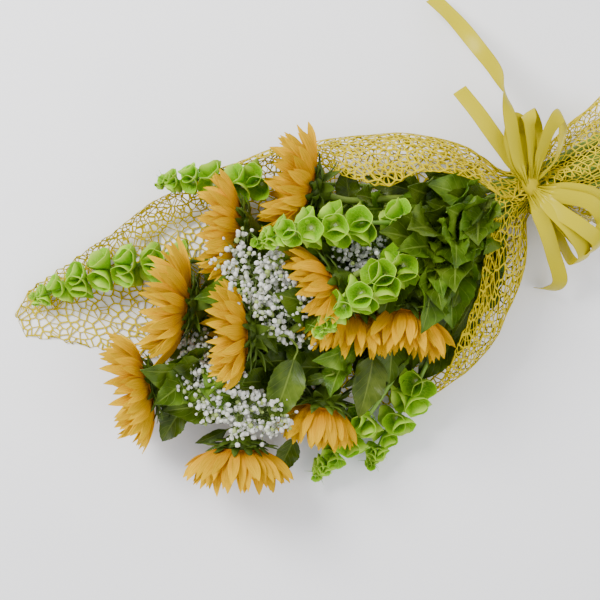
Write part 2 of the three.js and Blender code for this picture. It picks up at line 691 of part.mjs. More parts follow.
function discSolid(axes) {
  const outline = [
    [0, 0], [disc.radius, 0], [disc.radius, ring.height],
    [disc.radius * 0.72, disc.height * 0.74], [disc.radius * 0.38, disc.height], [0, disc.height * 0.94],
  ];
  const geometry = lathe(outline, disc.sides);
  const position = geometry.attributes.position;
  for (let i = 0; i < position.count; i += 1) {
    const row = i % outline.length;
    const column = Math.floor(i / outline.length) % disc.sides;
    const raised = (row + column) % 2 ? disc.relief : -disc.relief;
    if (row === 3 || row === 4) position.setY(i, position.getY(i) + raised);
  }
  return turnToFace(geometry, axes);
}

// A turned body whose side panels may grow blades: rows run round the head, outline is [radius, height]
function turnedPoints(axes, outline, sides) {
  return outline.map(([radius, height]) => {
    const count = radius === 0 ? 1 : sides;
    return Array.from({ length: count }, (_, k) => {
      return pointAt(axes.centre, [outward(axes, (2 * Math.PI * k) / sides), radius], [axes.facing, height]);
    });
  });
}

function panel(rows, row, k, sides) {
  const corner = (r, column) => {
    const loop = rows[r % rows.length];
    return loop[loop.length === 1 ? 0 : column % sides];
  };
  return [corner(row, k), corner(row, k + 1), corner(row + 1, k + 1), corner(row + 1, k)];
}

function turnedBody(rows, sides, closed, blades) {
  const points = [];
  const triangles = [];
  const add = (list) => {
    const start = points.length;
    points.push(...list);
    return list.map((_, i) => start + i);
  };
  for (let row = 0; row < (closed ? rows.length : rows.length - 1); row += 1) {
    for (let k = 0; k < sides; k += 1) {
      const base = add(panel(rows, row, k, sides));
      const blade = blades.get(`${row}_${k}`);
      if (!blade) {
        triangles.push([base[0], base[1], base[2]], [base[0], base[2], base[3]]);
        continue;
      }
      const [belly, tip] = [add(blade.belly), add(blade.tip)[0]];
      for (let i = 0; i < 4; i += 1) {
        const next = (i + 1) % 4;
        const [p, q, r, t] = [base[i], base[next], belly[next], belly[i]];
        triangles.push(...(i % 2 ? [[p, q, t], [q, r, t]] : [[p, q, r], [p, r, t]]), [t, r, tip]);
      }
    }
  }
  return solidFrom(points, triangles);
}

// A petal or bract that leaves its panel at the angle open from the direction faced, then curls
function headBlade(axes, root, angle, open, curl, length, size, extra) {
  const away = outward(axes, angle);
  const along = (bend) => new THREE.Vector3()
    .addScaledVector(axes.facing, Math.cos(degrees(bend)))
    .addScaledVector(away, Math.sin(degrees(bend)));
  const side = new THREE.Vector3().crossVectors(axes.facing, away).normalize();
  const foot = root[0].clone().add(root[2]).multiplyScalar(0.5);
  const belly = pointAt(foot, [along(open), length * 0.5]);
  const tip = pointAt(belly, [along(open - curl), length * 0.5 + extra]);
  const normal = new THREE.Vector3().crossVectors(side, along(open - curl / 2));
  const [left, back, right, front] = bladeRing(
    belly, side, normal, size.width / 2 + extra, size.fold, size.thickness + 2 * extra,
  );
  return { belly: [right, back, left, front], tip: [tip] };
}

function growBlades(name, axes, rows, sides, row, blades, choose) {
  for (let k = 0; k < sides; k += 1) {
    const root = panel(rows, row, k, sides);
    const shapes = choose(k);
    const make = (attempt, extra) => {
      const blade = shapes(attempt, extra, root);
      return skin([root, blade.belly, blade.tip]);
    };
    const attempt = firstClear(name, shapes.tries, make);
    if (attempt === undefined) continue;
    blades.set(`${row}_${k}`, shapes(attempt, 0, root));
    place(name, 'petal', make(attempt, 0), { guard: true });
  }
}

const ringOutline = [
  [ring.inner, 0], [ring.outer, 0], [ring.outer - 1, ring.height], [ring.inner, ring.height],
];

function buildPetals(item, n, axes) {
  const draw = seededDraw(100 + n);
  const name = `sunflower_${n + 1}_petals`;
  const sides = petal.perLayer;
  const rows = turnedPoints(axes, ringOutline, sides);
  const blades = new Map();
  const bends = [0, -8, 8, -16, -24, 14, -32];
  const layers = [{ row: 1, open: item.outer, turn: 0.5 }, { row: 2, open: item.inner, turn: 1 }];
  for (const layer of layers) {
    growBlades(name, axes, rows, sides, layer.row, blades, (k) => {
      const angle = (2 * Math.PI * (k + layer.turn + (draw() - 0.5) * 0.3)) / sides;
      const open = layer.open + (draw() - 0.5) * 14;
      const curl = 6 + draw() * 14;
      const length = item.length * (0.94 + draw() * 0.12);
      const shapes = (attempt, extra, root) => (
        headBlade(axes, root, angle, Math.max(open + bends[attempt], 6), curl, length, petal, extra)
      );
      shapes.tries = bends.length;
      return shapes;
    });
  }
  nodes.get(name).solids = [turnedBody(rows, sides, true, blades)];
}

const calyxOutline = [
  [0, -calyx.depth], [stemRadius.sunflower + 1, -calyx.depth], [calyx.radius * 0.66, -calyx.depth * 0.56],
  [calyx.radius, -6], [calyx.radius - 0.5, -seat], [0, -seat],
];

function buildCalyx(n, axes) {
  const draw = seededDraw(300 + n);
  const name = `sunflower_${n + 1}_stem`;
  const sides = bract.count;
  const rows = turnedPoints(axes, calyxOutline, sides);
  const blades = new Map();
  for (const row of [2, 3]) {
    if (row === 2 && n % 2) continue;
    growBlades(name, axes, rows, sides, row, blades, (k) => {
      const angle = (2 * Math.PI * (k + 0.5 + (draw() - 0.5) * 0.4)) / sides;
      const open = (row === 2 ? 128 : 98) + (draw() - 0.5) * 22;
      const length = bract.length * (0.8 + draw() * 0.4);
      const curl = 16;
      const shapes = (attempt, extra, root) => (
        headBlade(axes, root, angle, open + attempt * 12, curl, length, bract, extra)
      );
      shapes.tries = 4;
      return shapes;
    });
  }
  nodes.get(name).solids.push(turnedBody(rows, sides, false, blades));
}

// Leaves
const showProfile = [[0.02, 0.14], [0.2, 0.86], [0.36, 0.84], [0.48, 1], [0.68, 0.66], [1, 0]];
const fillProfile = [[0.02, 0.14], [0.3, 1], [0.64, 0.74], [1, 0]];

// A leaf with its stalk: from the stem to the blade's foot, then along the midrib to the tip
function leafSolid(stemPoint, leaf, extra) {
  const { from, to, width, roll, arch, profile } = leaf;
  const line = to.clone().sub(from);
  const length = line.length();
  const tangent = line.clone().normalize();
  const side = new THREE.Vector3().crossVectors(up, tangent).normalize().applyAxisAngle(tangent, roll);
  const normal = new THREE.Vector3().crossVectors(tangent, side);
  const bend = pointAt(from, [tangent, -Math.min(stalk.bend, from.distanceTo(stemPoint) * 0.4)]);
  const rings = [stemPoint, bend].map((centre) => (
    bladeRing(centre, side, normal, stalk.width / 2 + extra, 0, stalk.width + 2 * extra)
  ));
  profile.forEach(([share, part], i) => {
    const centre = pointAt(from, [line, share], [normal, arch * length * 4 * share * (1 - share)]);
    const fold = (0.16 + (i % 2 ? 0.07 : -0.05)) * width * part;
    if (part === 0) rings.push([pointAt(centre, [tangent, extra])]);
    else {
      const thickness = leafThickness + 2 * extra;
      rings.push(bladeRing(centre, side, normal, (width * part) / 2 + extra, fold, thickness));
    }
  });
  return skin(rings);
}

function stemPointsNear(stems, foot, count) {
  const found = [];
  for (const stem of stems) {
    if (stem.radius !== stemRadius.sunflower) continue;
    let best = null;
    for (let i = 1; i + 1 < stem.points.length; i += 1) {
      const [a, b] = [stem.points[i], stem.points[i + 1]];
      const along = b.clone().sub(a);
      const t = THREE.MathUtils.clamp(foot.clone().sub(a).dot(along) / along.lengthSq(), 0, 1);
      const point = pointAt(a, [along, t]);
      const distance = point.distanceTo(foot);
      if (!best || distance < best.distance) best = { name: stem.name, point, distance };
    }
    found.push(best);
  }
  return found.sort((a, b) => a.distance - b.distance).slice(0, count);
}

function buildShowLeaves(stems) {
  const draw = seededDraw(41);
  const lifts = [0, 5, -6, 11, -12, 17, -18, 24];
  const turns = [0, 0.5, -0.5];
  for (const item of showLeaves) {
    const roll = (draw() - 0.5) * 0.7;
    const arch = 0.05 + draw() * 0.06;
    const carriers = stemPointsNear(stems, vec(item.from), 3);
    for (const carrier of carriers) {
      const done = placeClear(carrier.name, 'leaf', lifts.length * turns.length, (attempt, extra) => {
        const lift = new THREE.Vector3(0, 0, lifts[attempt % lifts.length]);
        const turn = roll + turns[Math.floor(attempt / lifts.length)];
        const [from, to] = [vec(item.from).add(lift), vec(item.to).add(lift)];
        const leaf = { from, to, width: item.width, roll: turn, arch, profile: showProfile };
        return leafSolid(carrier.point, leaf, extra);
      });
      if (done) break;
    }
  }
}

function buildFillLeaves(stems) {
  const draw = seededDraw(43);
  for (const stem of stems) {
    if (stem.radius !== stemRadius.sunflower) continue;
    for (const share of fillLeaf.shares) {
      const spot = share * stem.waistIndex;
      const i = Math.max(1, Math.floor(spot));
      const point = stem.points[i].clone().lerp(stem.points[i + 1], spot - Math.floor(spot));
      const tangent = stem.points[i].clone().sub(stem.points[i + 1]).normalize();
      const firstTurn = draw() * 2 * Math.PI;
      const width = THREE.MathUtils.lerp(...fillLeaf.width, draw());
      placeClear(stem.name, 'leaf', 9, (attempt, extra) => {
        const turn = firstTurn + attempt * 2.4;
        const across = new THREE.Vector3().crossVectors(tangent, up).normalize();
        across.applyAxisAngle(tangent, turn);
        const heading = across.clone().addScaledVector(tangent, 1.1).normalize();
        const from = pointAt(point, [heading, fillLeaf.stalk]);
        const to = pointAt(from, [heading, fillLeaf.length - attempt * 2]);
        return leafSolid(point, { from, to, width, roll: 0.2, arch: 0.06, profile: fillProfile }, extra);
      });
    }
  }
}

// Bells of Ireland
function bellSolid(root, facing, length, rim, extra) {
  const reference = Math.abs(facing.z) > 0.9 ? new THREE.Vector3(1, 0, 0) : up;
  const side = new THREE.Vector3().crossVectors(facing, reference).normalize();
  const other = new THREE.Vector3().crossVectors(facing, side);
  const loop = (depth, radius, wave) => Array.from({ length: bell.sides }, (_, k) => {
    const angle = (2 * Math.PI * k) / bell.sides;
    return pointAt(
      root,
      [facing, depth + (k % 2 ? wave : 0)],
      [side, (radius + extra) * Math.cos(angle)],
      [other, (radius + extra) * Math.sin(angle)],
    );
  });
  const throat = pointAt(root, [facing, length * 0.34]);
  const points = [root, ...loop(length * 0.42, rim * 0.52, 0), ...loop(length, rim, length * 0.12), throat];
  const triangles = [];
  for (let k = 0; k < bell.sides; k += 1) {
    const [waist, nextWaist] = [1 + k, 1 + ((k + 1) % bell.sides)];
    const [lip, nextLip] = [waist + bell.sides, nextWaist + bell.sides];
    triangles.push([0, nextWaist, waist], [waist, nextWaist, nextLip], [waist, nextLip, lip]);
    triangles.push([lip, nextLip, 1 + 2 * bell.sides]);
  }
  return solidFrom(points, triangles);
}

function spineSolid(root, heading, extra) {
  const side = new THREE.Vector3().crossVectors(heading, new THREE.Vector3(0.3, 0.5, 0.8)).normalize();
  const other = new THREE.Vector3().crossVectors(heading, side);
  const foot = [0, 1, 2].map((k) => pointAt(
    root,
    [side, (spine.radius + extra) * Math.cos((2 * Math.PI * k) / 3)],
    [other, (spine.radius + extra) * Math.sin((2 * Math.PI * k) / 3)],
  ));
  return skin([foot, [pointAt(root, [heading, spine.length + extra])]]);
}

const bellTries = [
  { turn: 0, lean: 0.75 }, { turn: 0.4, lean: 0.75 }, { turn: -0.4, lean: 0.75 },
  { turn: 0.8, lean: 0.75 }, { turn: -0.8, lean: 0.75 }, { turn: 0, lean: 1.6 },
];

function buildBells(stem, item, n) {
  const draw = seededDraw(500 + n);
  const name = stem.name;
  const line = new THREE.CatmullRomCurve3(stem.points.slice(0, item.course.length));
  const length = line.getLength();
  let along = 0;
  for (let w = 0; w < item.whorls + 1 && along < length; w += 1) {
    const size = Math.min(1, 0.34 + w * 0.2);
    const spot = line.getPointAt(Math.min(along / length, 1));
    const tangent = line.getTangentAt(Math.min(along / length, 1)).negate();
    const level = new THREE.Vector3().crossVectors(tangent, up).normalize();
    const firstTurn = draw() * 2 * Math.PI;
    for (let k = 0; k < bell.perWhorl; k += 1) {
      const turn = firstTurn + (2 * Math.PI * k) / bell.perWhorl;
      placeClear(name, 'bells', bellTries.length, (attempt, extra) => {
        const across = level.clone().applyAxisAngle(tangent, turn + bellTries[attempt].turn);
        const facing = across.clone().addScaledVector(tangent, bellTries[attempt].lean).normalize();
        return bellSolid(pointAt(spot, [facing, -0.5]), facing, bell.length * size, bell.rim * size, extra);
      }, { apart: true });
    }
    const spineTurn = firstTurn + Math.PI / bell.perWhorl;
    placeClear(name, 'bells', 3, (attempt, extra) => {
      const across = level.clone().applyAxisAngle(tangent, spineTurn + attempt);
      return spineSolid(spot, across.addScaledVector(tangent, 0.5).normalize(), extra);
    });
    along += 9 + 26 * size;
  }
}

// Baby's breath
function floretOnStalk(root, end, extra) {
  const heading = end.clone().sub(root).normalize();
  const side = new THREE.Vector3().crossVectors(heading, new THREE.Vector3(0.6, 0.3, 0.74)).normalize();
  const other = new THREE.Vector3().crossVectors(heading, side);
  const loop = (ahead, radius) => Array.from({ length: 4 }, (_, k) => pointAt(
    end,
    [heading, ahead],
    [side, (radius + extra) * Math.cos((Math.PI * k) / 2)],
    [other, (radius + extra) * Math.sin((Math.PI * k) / 2)],
  ));
  const tip = pointAt(end, [heading, floret.depth + extra]);
  return skin([[root], loop(-floret.depth, floret.foot), loop(0, floret.radius), [tip]]);
}

function buildBreath(stem, item, n) {
  const draw = seededDraw(700 + n);
  const line = new THREE.CatmullRomCurve3(stem.points.slice(0, item.course.length));
  for (let k = 0; k < item.florets; k += 1) {
    const share = (k + draw()) / item.florets;
    const root = line.getPointAt(Math.min(share + 0.06, 1));
    const firstTurn = draw() * 2 * Math.PI;
    const reach = item.reach * (0.35 + 0.65 * draw());
    placeClear(stem.name, 'breath', 8, (attempt, extra) => {
      const turn = firstTurn + attempt * 2.4;
      const spread = new THREE.Vector3(Math.cos(turn), Math.sin(turn) * 0.9, 0.35 + 0.3 * Math.sin(2 * turn));
      const heading = pointAt(spread, [line.getTangentAt(share), -0.45]).normalize();
      return floretOnStalk(root, pointAt(root, [heading, reach * (attempt < 4 ? 1 : 0.7)]), extra);
    }, { apart: true });
  }
}

// The whole bunch
const finishes = {
  net: { color: 0xf5cf0a, roughness: 0.55 },
  ribbon: { color: 0xf4dc14, roughness: 0.32 },
  petal: { color: 0xf9b50f, roughness: 0.6 },
  disc: { color: 0x4a2f17, roughness: 0.9 },
  leaf: { color: 0x3f6f24, roughness: 0.6 },
  bells: { color: 0x7fc02c, roughness: 0.55 },
  breath: { color: 0xe9eee2, roughness: 0.7 },
};

function geometryOf(solid) {
  const { vertProperties, triVerts } = solid.getMesh();
  const geometry = new THREE.BufferGeometry();
  geometry.setAttribute('position', new THREE.BufferAttribute(new Float32Array(vertProperties), 3));
  geometry.setIndex(new THREE.BufferAttribute(new Uint32Array(triVerts), 1));
  return geometry;
}

// Fuses a node, then keeps its largest body: loose scraps go, and sealed hollows are filled
function fusedBody(solids) {
  const geometry = geometryOf(Manifold.union(solids).simplify(finestDetail));
  geometry.translate(...offset);
  const welded = solidFromGeometry(geometry, finestEdge);
  return welded.decompose().sort((a, b) => b.volume() - a.volume())[0];
}

function meshFrom(name, { colour, solids }) {
  const geometry = geometryOf(fusedBody(solids));
  geometry.computeVertexNormals();
  const material = new THREE.MeshStandardMaterial({ ...finishes[colour], metalness: 0 });
  const mesh = new THREE.Mesh(geometry, material);
  mesh.name = name;
  return mesh;
}

const stemLooks = {
  sunflower: { colour: 'leaf', sides: 5 },
  bells: { colour: 'bells', sides: 4 },
  babys: { colour: 'breath', sides: 3 },
};

function buildBunch() {
  const stems = settleStems();
  buildWrap();
  buildRibbon();
  stems.forEach((stem) => {
    const { colour, sides } = stemLooks[stem.name.split('_')[0]];
    place(stem.name, colour, tube(stem.points, stem.points.map(() => stem.radius), sides));
  });
  const allAxes = heads.map(headAxes);
  allAxes.forEach((axes, n) => {
    const name = `sunflower_${n + 1}`;
    place(`${name}_stem`, 'leaf', turnToFace(lathe(calyxOutline, bract.count), axes), { guard: true });
    place(`${name}_disc`, 'disc', discSolid(axes));
    const guard = turnToFace(lathe([...ringOutline, ringOutline[0]], 12), axes);
    place(`${name}_petals`, 'petal', guard, { guard: true });
  });
  heads.forEach((item, n) => buildPetals(item, n, allAxes[n]));
  bellStems.forEach((item, n) => buildBells(stems[heads.length + n], item, n));
  buildShowLeaves(stems);
  heads.forEach((item, n) => buildCalyx(n, allAxes[n]));
  breathStems.forEach((item, n) => buildBreath(stems[heads.length + bellStems.length + n], item, n));
  buildFillLeaves(stems);
  const bunch = new THREE.Group();
  bunch.name = 'sunflower_bunch';
  for (const [name, node] of nodes) bunch.add(meshFrom(name, node));
  return bunch;
}

export default buildBunch();
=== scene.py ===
import math

import bpy
import numpy as np
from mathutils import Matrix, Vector
from mathutils.bvhtree import BVHTree
from mathutils.geometry import delaunay_2d_cdt


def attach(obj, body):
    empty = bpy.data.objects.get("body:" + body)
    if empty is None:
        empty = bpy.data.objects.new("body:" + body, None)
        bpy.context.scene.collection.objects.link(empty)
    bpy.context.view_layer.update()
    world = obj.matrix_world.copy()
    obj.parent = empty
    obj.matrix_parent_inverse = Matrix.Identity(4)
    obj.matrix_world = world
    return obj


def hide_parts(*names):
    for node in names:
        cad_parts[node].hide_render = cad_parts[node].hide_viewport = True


for name in ("Cube", "Light", "Camera"):              # the objects of a new file
    if name in bpy.data.objects:
        bpy.data.objects.remove(bpy.data.objects[name])
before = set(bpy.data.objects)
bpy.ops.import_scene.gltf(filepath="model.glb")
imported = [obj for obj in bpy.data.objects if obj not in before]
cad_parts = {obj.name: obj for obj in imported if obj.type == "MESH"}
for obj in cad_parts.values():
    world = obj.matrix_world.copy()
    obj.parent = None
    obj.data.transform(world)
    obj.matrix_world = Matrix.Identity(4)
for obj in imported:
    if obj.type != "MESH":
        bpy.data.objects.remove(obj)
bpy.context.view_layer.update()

# The bunch's layout in millimetres: +X runs from the blooms to the cut ends,
# and the camera looks at its origin
layoutShift = np.array([-63.5, -24.8, 0.0])
up = np.array([0.0, 0.0, 1.0])
aslant = [0.3, 0.5, 0.8]                               # parallel to no flower's or cup's axis

tie = {"x": 330, "z": 36, "radius": 29}
cutEnds = {"x": 478, "spreadY": 1.3, "spreadZ": 0.9, "y": -12, "z": 37}
beyondTie = [0.35, 1]                                  # stem points past the tie, as shares of the way
ring = {"inner": 18.5, "outer": 26, "height": 2.6}
disc = {"radius": 17.2, "florets": 170}
calyx = {"radius": 25, "depth": 26}
neck = 34
petal = {"perLayer": 13, "width": 16, "fold": 1.6}
bract = {"length": 30, "width": 11, "fold": -0.8, "count": 9}
fillLeaf = {"shares": [0.3, 0.68], "stalk": 20, "length": 46, "width": [24, 36]}
stemGap = 0.35
floorClear = 3.2
stemRadius = {"sunflower": 4.6, "bells": 2.8, "breath": 1.5}
bell = {"length": 23, "rim": 16, "perWhorl": 3}
spine = {"length": 17, "radius": 0.8}
floret = {"radius": 4.4, "depth": 3.52}
ribbon = {"width": 20, "thickness": 0.7, "band": 11, "overNet": 2.3, "atKnot": 5, "gather": 40, "step": 25}
strandHeight = 1.9
settling = {
    "rounds": 260, "lastFree": 20, "push": 0.55, "smooth": 0.12, "headPush": 0.4, "stepLength": 50,
    "leave": 0.32, "arrive": 0.38,                     # handles of the curve from a head to the tie
    "watch": 2.5, "watchHead": 4,                      # how far past contact a pair is still looked at
}
tieRoom = tie["radius"] - strandHeight - 2.6
tieSlot = {"perY": 9, "perZ": 5, "level": 88, "most": 15}
flare = {"from": 22, "to": 120, "slope": 0.34, "after": 12}    # how the stems' room widens beside the tie
headGuards = [(26, 42), (-9, 31)]                      # room round a head: how far ahead, and its radius
seeds = {"petals": 100, "stalk": 300, "bells": 500, "breath": 700, "more": 1000,
         "showLeaves": 41, "fillLeaves": 43, "denseLeaves": 77, "net": 19}

# Sunflower heads: centre, direction faced, tilt, petal length, and how far the outer and inner petals open
heads = [
    ([73, 118, 112], 139, 2, 66, 66, 42),
    ([-28, 113, 100], 152, 0, 60, 60, 38),
    ([-132, 53, 94], 146, 0, 68, 67, 43),
    ([-222, -13, 74], 167, 6, 64, 66, 44),
    ([-78, -9, 130], 155, 4, 57, 60, 40),
    ([48, -3, 142], 181, 0, 58, 60, 40),
    ([56, -44, 110], 236, -6, 57, 58, 36),
    ([113, -68, 108], 234, 0, 64, 50, 32),
    ([-35, -134, 66], 232, -4, 52, 36, 22),
    ([-154, -138, 68], 241, 0, 60, 58, 36),
]
# How orange each head's petals are, from the photograph
headWarmth = [0.45, 0.45, 0.1, 0.0, 0.4, 0.85, 0.8, 0.8, 0.6, 0.35]

# Bells of Ireland: whorls of the frame, and the stem's course from its tip
bellStems = [
    (4, [[-90, 215, 60], [-48, 197, 66], [-10, 172, 68], [23, 160, 62]]),
    (6, [[-311, 155, 24], [-265, 151, 28], [-221, 149, 32], [-169, 134, 40], [-107, 108, 42]]),
    (5, [[-11, 84, 176], [20, 82, 176], [68, 69, 160], [115, 50, 140], [159, 33, 122]]),
    (4, [[9, -43, 184], [48, -28, 180], [84, -25, 168], [135, -16, 138]]),
    (4, [[-78, -215, 26], [-52, -203, 34], [-20, -191, 42], [20, -172, 52]]),
    (4, [[-7, -233, 22], [25, -206, 26], [54, -191, 34], [98, -160, 44]]),
]

# Baby's breath: florets of the frame, their reach, and the spray's spine
breathStems = [
    (30, 32, [[-40, 78, 136], [-34, 40, 134], [-26, 4, 124], [-20, -28, 104], [0, -40, 68]]),
    (30, 32, [[-163, 5, 70], [-149, -48, 88], [-126, -98, 90], [-88, -118, 74]]),
    (10, 18, [[82, 18, 112], [106, 8, 106], [140, 2, 98]]),
]

# Large leaves: where the blade starts, where its tip lies, and its width
showLeaves = [
    ([-93, 48, 104], [-82, 108, 92], 26),
    ([-150, 8, 84], [-218, -22, 60], 32),
    ([-191, -56, 62], [-245, -88, 34], 38),
    ([-182, -22, 60], [-236, -72, 44], 22),
    ([-38, -19, 122], [-45, 41, 118], 24),
    ([-57, -9, 112], [-55, -50, 106], 15),
    ([-39, -63, 114], [-101, -124, 98], 46),
    ([-12, -102, 92], [-47, -96, 84], 15),
    ([53, -105, 92], [1, -169, 82], 44),
    ([157, -61, 116], [136, -112, 96], 42),
    ([-87, -160, 48], [-126, -192, 26], 30),
    ([-160, -110, 58], [-206, -108, 48], 15),
    ([191, 65, 76], [143, 108, 70], 28),
    ([113, 84, 78], [127, 128, 70], 32),
    ([145, 66, 84], [98, 82, 72], 28),
    ([272, 14, 82], [200, 38, 100], 44),
    ([268, 34, 72], [205, 66, 86], 36),
    ([262, -2, 80], [212, -8, 100], 34),
    ([205, -22, 96], [165, 18, 106], 26),
    ([246, -22, 78], [196, -30, 98], 34),
    ([218, -46, 82], [158, -42, 100], 34),
    ([121, -25, 106], [139, 8, 112], 28),
    ([98, 9, 104], [47, 50, 96], 30),
    ([62, 57, 96], [14, 60, 86], 22),
    ([198, 25, 84], [160, 64, 88], 28),
    ([185, -86, 84], [140, -122, 74], 30),
    ([156, -112, 62], [112, -152, 50], 30),
    ([-20, 20, 90], [-60, 40, 84], 24),
    ([-2, -60, 84], [-6, -6, 80], 34),
    ([-92, -42, 72], [-112, 18, 64], 32),
    ([150, 6, 80], [134, 58, 74], 34),
    ([84, 22, 78], [78, 70, 66], 34),
    ([4, 34, 84], [-36, 6, 76], 30),
    ([122, -100, 72], [70, -138, 60], 34),
]

# The same for leaves that the frame lacks
moreLeaves = [
    ([96, -84, 56], [44, -142, 42], 42),
    ([70, -84, 48], [22, -118, 40], 38),
    ([120, -92, 46], [80, -152, 34], 40),
    ([64, -88, 50], [0, -130, 40], 46),
    ([100, -120, 44], [30, -158, 30], 40),
    ([166, -128, 48], [92, -164, 34], 42),
    ([212, -88, 64], [150, -134, 50], 42),
    ([192, -108, 50], [136, -160, 40], 38),
    ([232, -62, 60], [186, -122, 56], 40),
]

# Netting: each x, then [y, z] of the low edge, low side, high side and high edge, its floor and its lift
wrapSections = [
    (-352, [116, 0], [120, 0], [146, 1], [152, 4], 0, 0),
    (-325, [98, 0], [106, 0], [162, 2], [172, 8], 0, 0),
    (-265, [54, 0], [68, 0], [166, 3], [181, 14], 0, 0),
    (-200, [6, 0], [24, 0], [172, 6], [188, 26], 0, 0),
    (-120, [-54, 0], [-32, 0], [186, 14], [203, 42], 0, 0),
    (-30, [-122, 0], [-98, 0], [192, 24], [203, 58], 0, 0),
    (60, [-196, 3], [-172, 0], [190, 34], [182, 76], 0, 0),
    (110, [-186, 40], [-191, 16], [180, 42], [128, 98], 0, 0),
    (160, [-136, 92], [-182, 34], [162, 48], [74, 116], 0, 0),
    (210, [-88, 108], [-161, 42], [142, 48], [80, 112], 0, 0),
    (255, [-24, 112], [-121, 46], [113, 48], [52, 108], 0, 0),
    (290, [8, 98], [-88, 46], [84, 46], [20, 96], 2, 0),
    (314, [-4, 65], [-30, 36], [30, 36], [4, 65], 6, 9),
    (346, [-4, 65], [-30, 36], [30, 36], [4, 65], 6, 9),
    (372, [-9, 72], [-66, 34], [36, 36], [3, 72], 1, 4),
    (418, [-20, 76], [-84, 34], [54, 38], [-4, 76], 0, 0),
    (474, [-26, 80], [-96, 34], [70, 38], [-4, 80], 0, 0),
]
shoulderBulge = 0.2

# Ribbon strips: where each leaves the knot and comes back to it, and its path as x, y, z and roll
knot = {"at": [332, 2, 75], "size": [13, 12, 8.5]}
ribbonStrips = [
    ([1, 5, 3], [-2, 5, -5],
     [[349, 38, 92, 40], [361, 75, 100, 50], [368, 88, 88, 60], [370, 66, 72, 70], [348, 28, 70, 80]]),
    ([7, 4, 2], [9, 3, -3],
     [[357, 30, 88, 30], [384, 58, 98, 40], [405, 66, 86, 50], [402, 50, 74, 60], [374, 18, 80, 70]]),
    ([4, -5, 4], [7, -5, -1],
     [[352, -22, 94, 20], [386, -52, 104, 30], [392, -84, 90, 40], [372, -96, 80, 50], [356, -56, 80, 60]]),
    ([-1, -5, 4], [1, -5, -5],
     [[338, -34, 96, -20], [350, -76, 98, -10], [354, -108, 80, 0], [342, -112, 56, 10], [338, -72, 62, 20]]),
    ([-7, -4, 0], None,
     [[324, -50, 82, 10], [320, -92, 70, 0], [316, -128, 46, 10], [304, -132, 22, 30], [292, -124, 10, 20]]),
    ([-8, 5, -3], None,
     [[324, 40, 74, 10], [316, 84, 82, 0], [311, 118, 78, 0], [305, 154, 66, 0]]),
    ([-6, 3, 6], None,
     [[330, 48, 98, 20], [340, 92, 110, 30], [350, 124, 100, 75], [354, 152, 88, 125],
      [348, 196, 76, 160], [342, 240, 54, 175], [334, 284, 20, 180]]),
    # three more turns of the same ribbon, which fill the bow
    ([-3, 5, 4], [-4, 5, -3],
     [[324, 36, 92, 20], [329, 68, 104, 30], [346, 86, 98, 40], [356, 72, 84, 50], [342, 40, 78, 60]]),
    ([3, -5, 4], [3, -5, -4],
     [[342, -36, 96, 0], [362, -74, 106, 10], [374, -100, 94, 20], [360, -108, 74, 30], [346, -66, 70, 40]]),
    ([6, -4, 3], [8, -4, -2],
     [[356, -16, 92, 20], [384, -34, 102, 30], [402, -58, 94, 40], [390, -76, 78, 50], [362, -42, 76, 60]]),
]


def say(text):
    print("bunch:", text, flush=True)


# Vectors
def vec(p):
    return np.array(p, dtype=float)


def unit(v):
    return v / np.linalg.norm(v)


def turnAbout(v, axis, angle):
    c, s = math.cos(angle), math.sin(angle)
    return v * c + np.cross(axis, v) * s + axis * (axis @ v) * (1 - c)


def direction(facing, tilt):
    f, t = math.radians(facing), math.radians(tilt)
    return np.array([math.cos(f) * math.cos(t), math.sin(f) * math.cos(t), math.sin(t)])


def clamp(value, low, high):
    return max(low, min(high, value))


def between(pair, share):
    return pair[0] + (pair[1] - pair[0]) * share


# A direction square to an axis, turned about it from the level
def squareTo(axis, turn):
    return turnAbout(unit(np.cross(axis, up)), axis, turn)


# The same seeded draws as the frame's, so that every repeat falls where its solid is
def seededDraw(seed):
    mask = 0xFFFFFFFF
    state = [seed]

    def draw():
        state[0] = (state[0] + 0x6D2B79F5) & mask
        t = state[0]
        t = ((t ^ (t >> 15)) * (1 | t)) & mask
        t = ((t + (((t ^ (t >> 7)) * (61 | t)) & mask)) & mask) ^ t
        return ((t ^ (t >> 14)) & mask) / 4294967296

    return draw


# The frame's draw for a piece, and another for what is added to it
def twoDraws(kind, n):
    return seededDraw(seeds[kind] + n), seededDraw(seeds["more"] + seeds[kind] + n)


# A smooth line through points, at shares of its parameter
def curvePoints(points, shares):
    points = np.asarray(points, dtype=float)
    last = len(points) - 1
    spot = np.clip(np.asarray(shares, dtype=float), 0, 1) * last
    i = np.minimum(np.floor(spot).astype(int), last - 1)
    w = (spot - i)[..., None]
    ends = np.vstack([2 * points[0] - points[1], points, 2 * points[-1] - points[-2]])
    p0, p1, p2, p3 = (ends[i + k] for k in range(4))
    d0, d1, d2 = (np.sum((b - a) ** 2, -1, keepdims=True) ** 0.25 for a, b in ((p0, p1), (p1, p2), (p2, p3)))
    m1 = ((p1 - p0) / d0 - (p2 - p0) / (d0 + d1) + (p2 - p1) / d1) * d1
    m2 = ((p2 - p1) / d1 - (p3 - p1) / (d1 + d2) + (p3 - p2) / d2) * d1
    return p1 + m1 * w + (-3 * p1 + 3 * p2 - 2 * m1 - m2) * w**2 + (2 * p1 - 2 * p2 + m1 + m2) * w**3


def travelled(line):
    return np.concatenate([[0], np.cumsum(np.linalg.norm(np.diff(line, axis=0), axis=1))])


# The parameter's share at a share of the line's length, and the whole length
def evenShares(points, shares, divisions=200):
    steps = np.linspace(0, 1, divisions + 1)
    along = travelled(curvePoints(points, steps))
    return np.interp(np.asarray(shares) * along[-1], along, steps), along[-1]


def headingAt(points, t):
    a, b = curvePoints(points, [max(t - 1e-4, 0), min(t + 1e-4, 1)])
    return unit(b - a)


def pointAndHeading(points, share):
    t = float(evenShares(points, [share])[0][0])
    return curvePoints(points, [t])[0], headingAt(points, t)


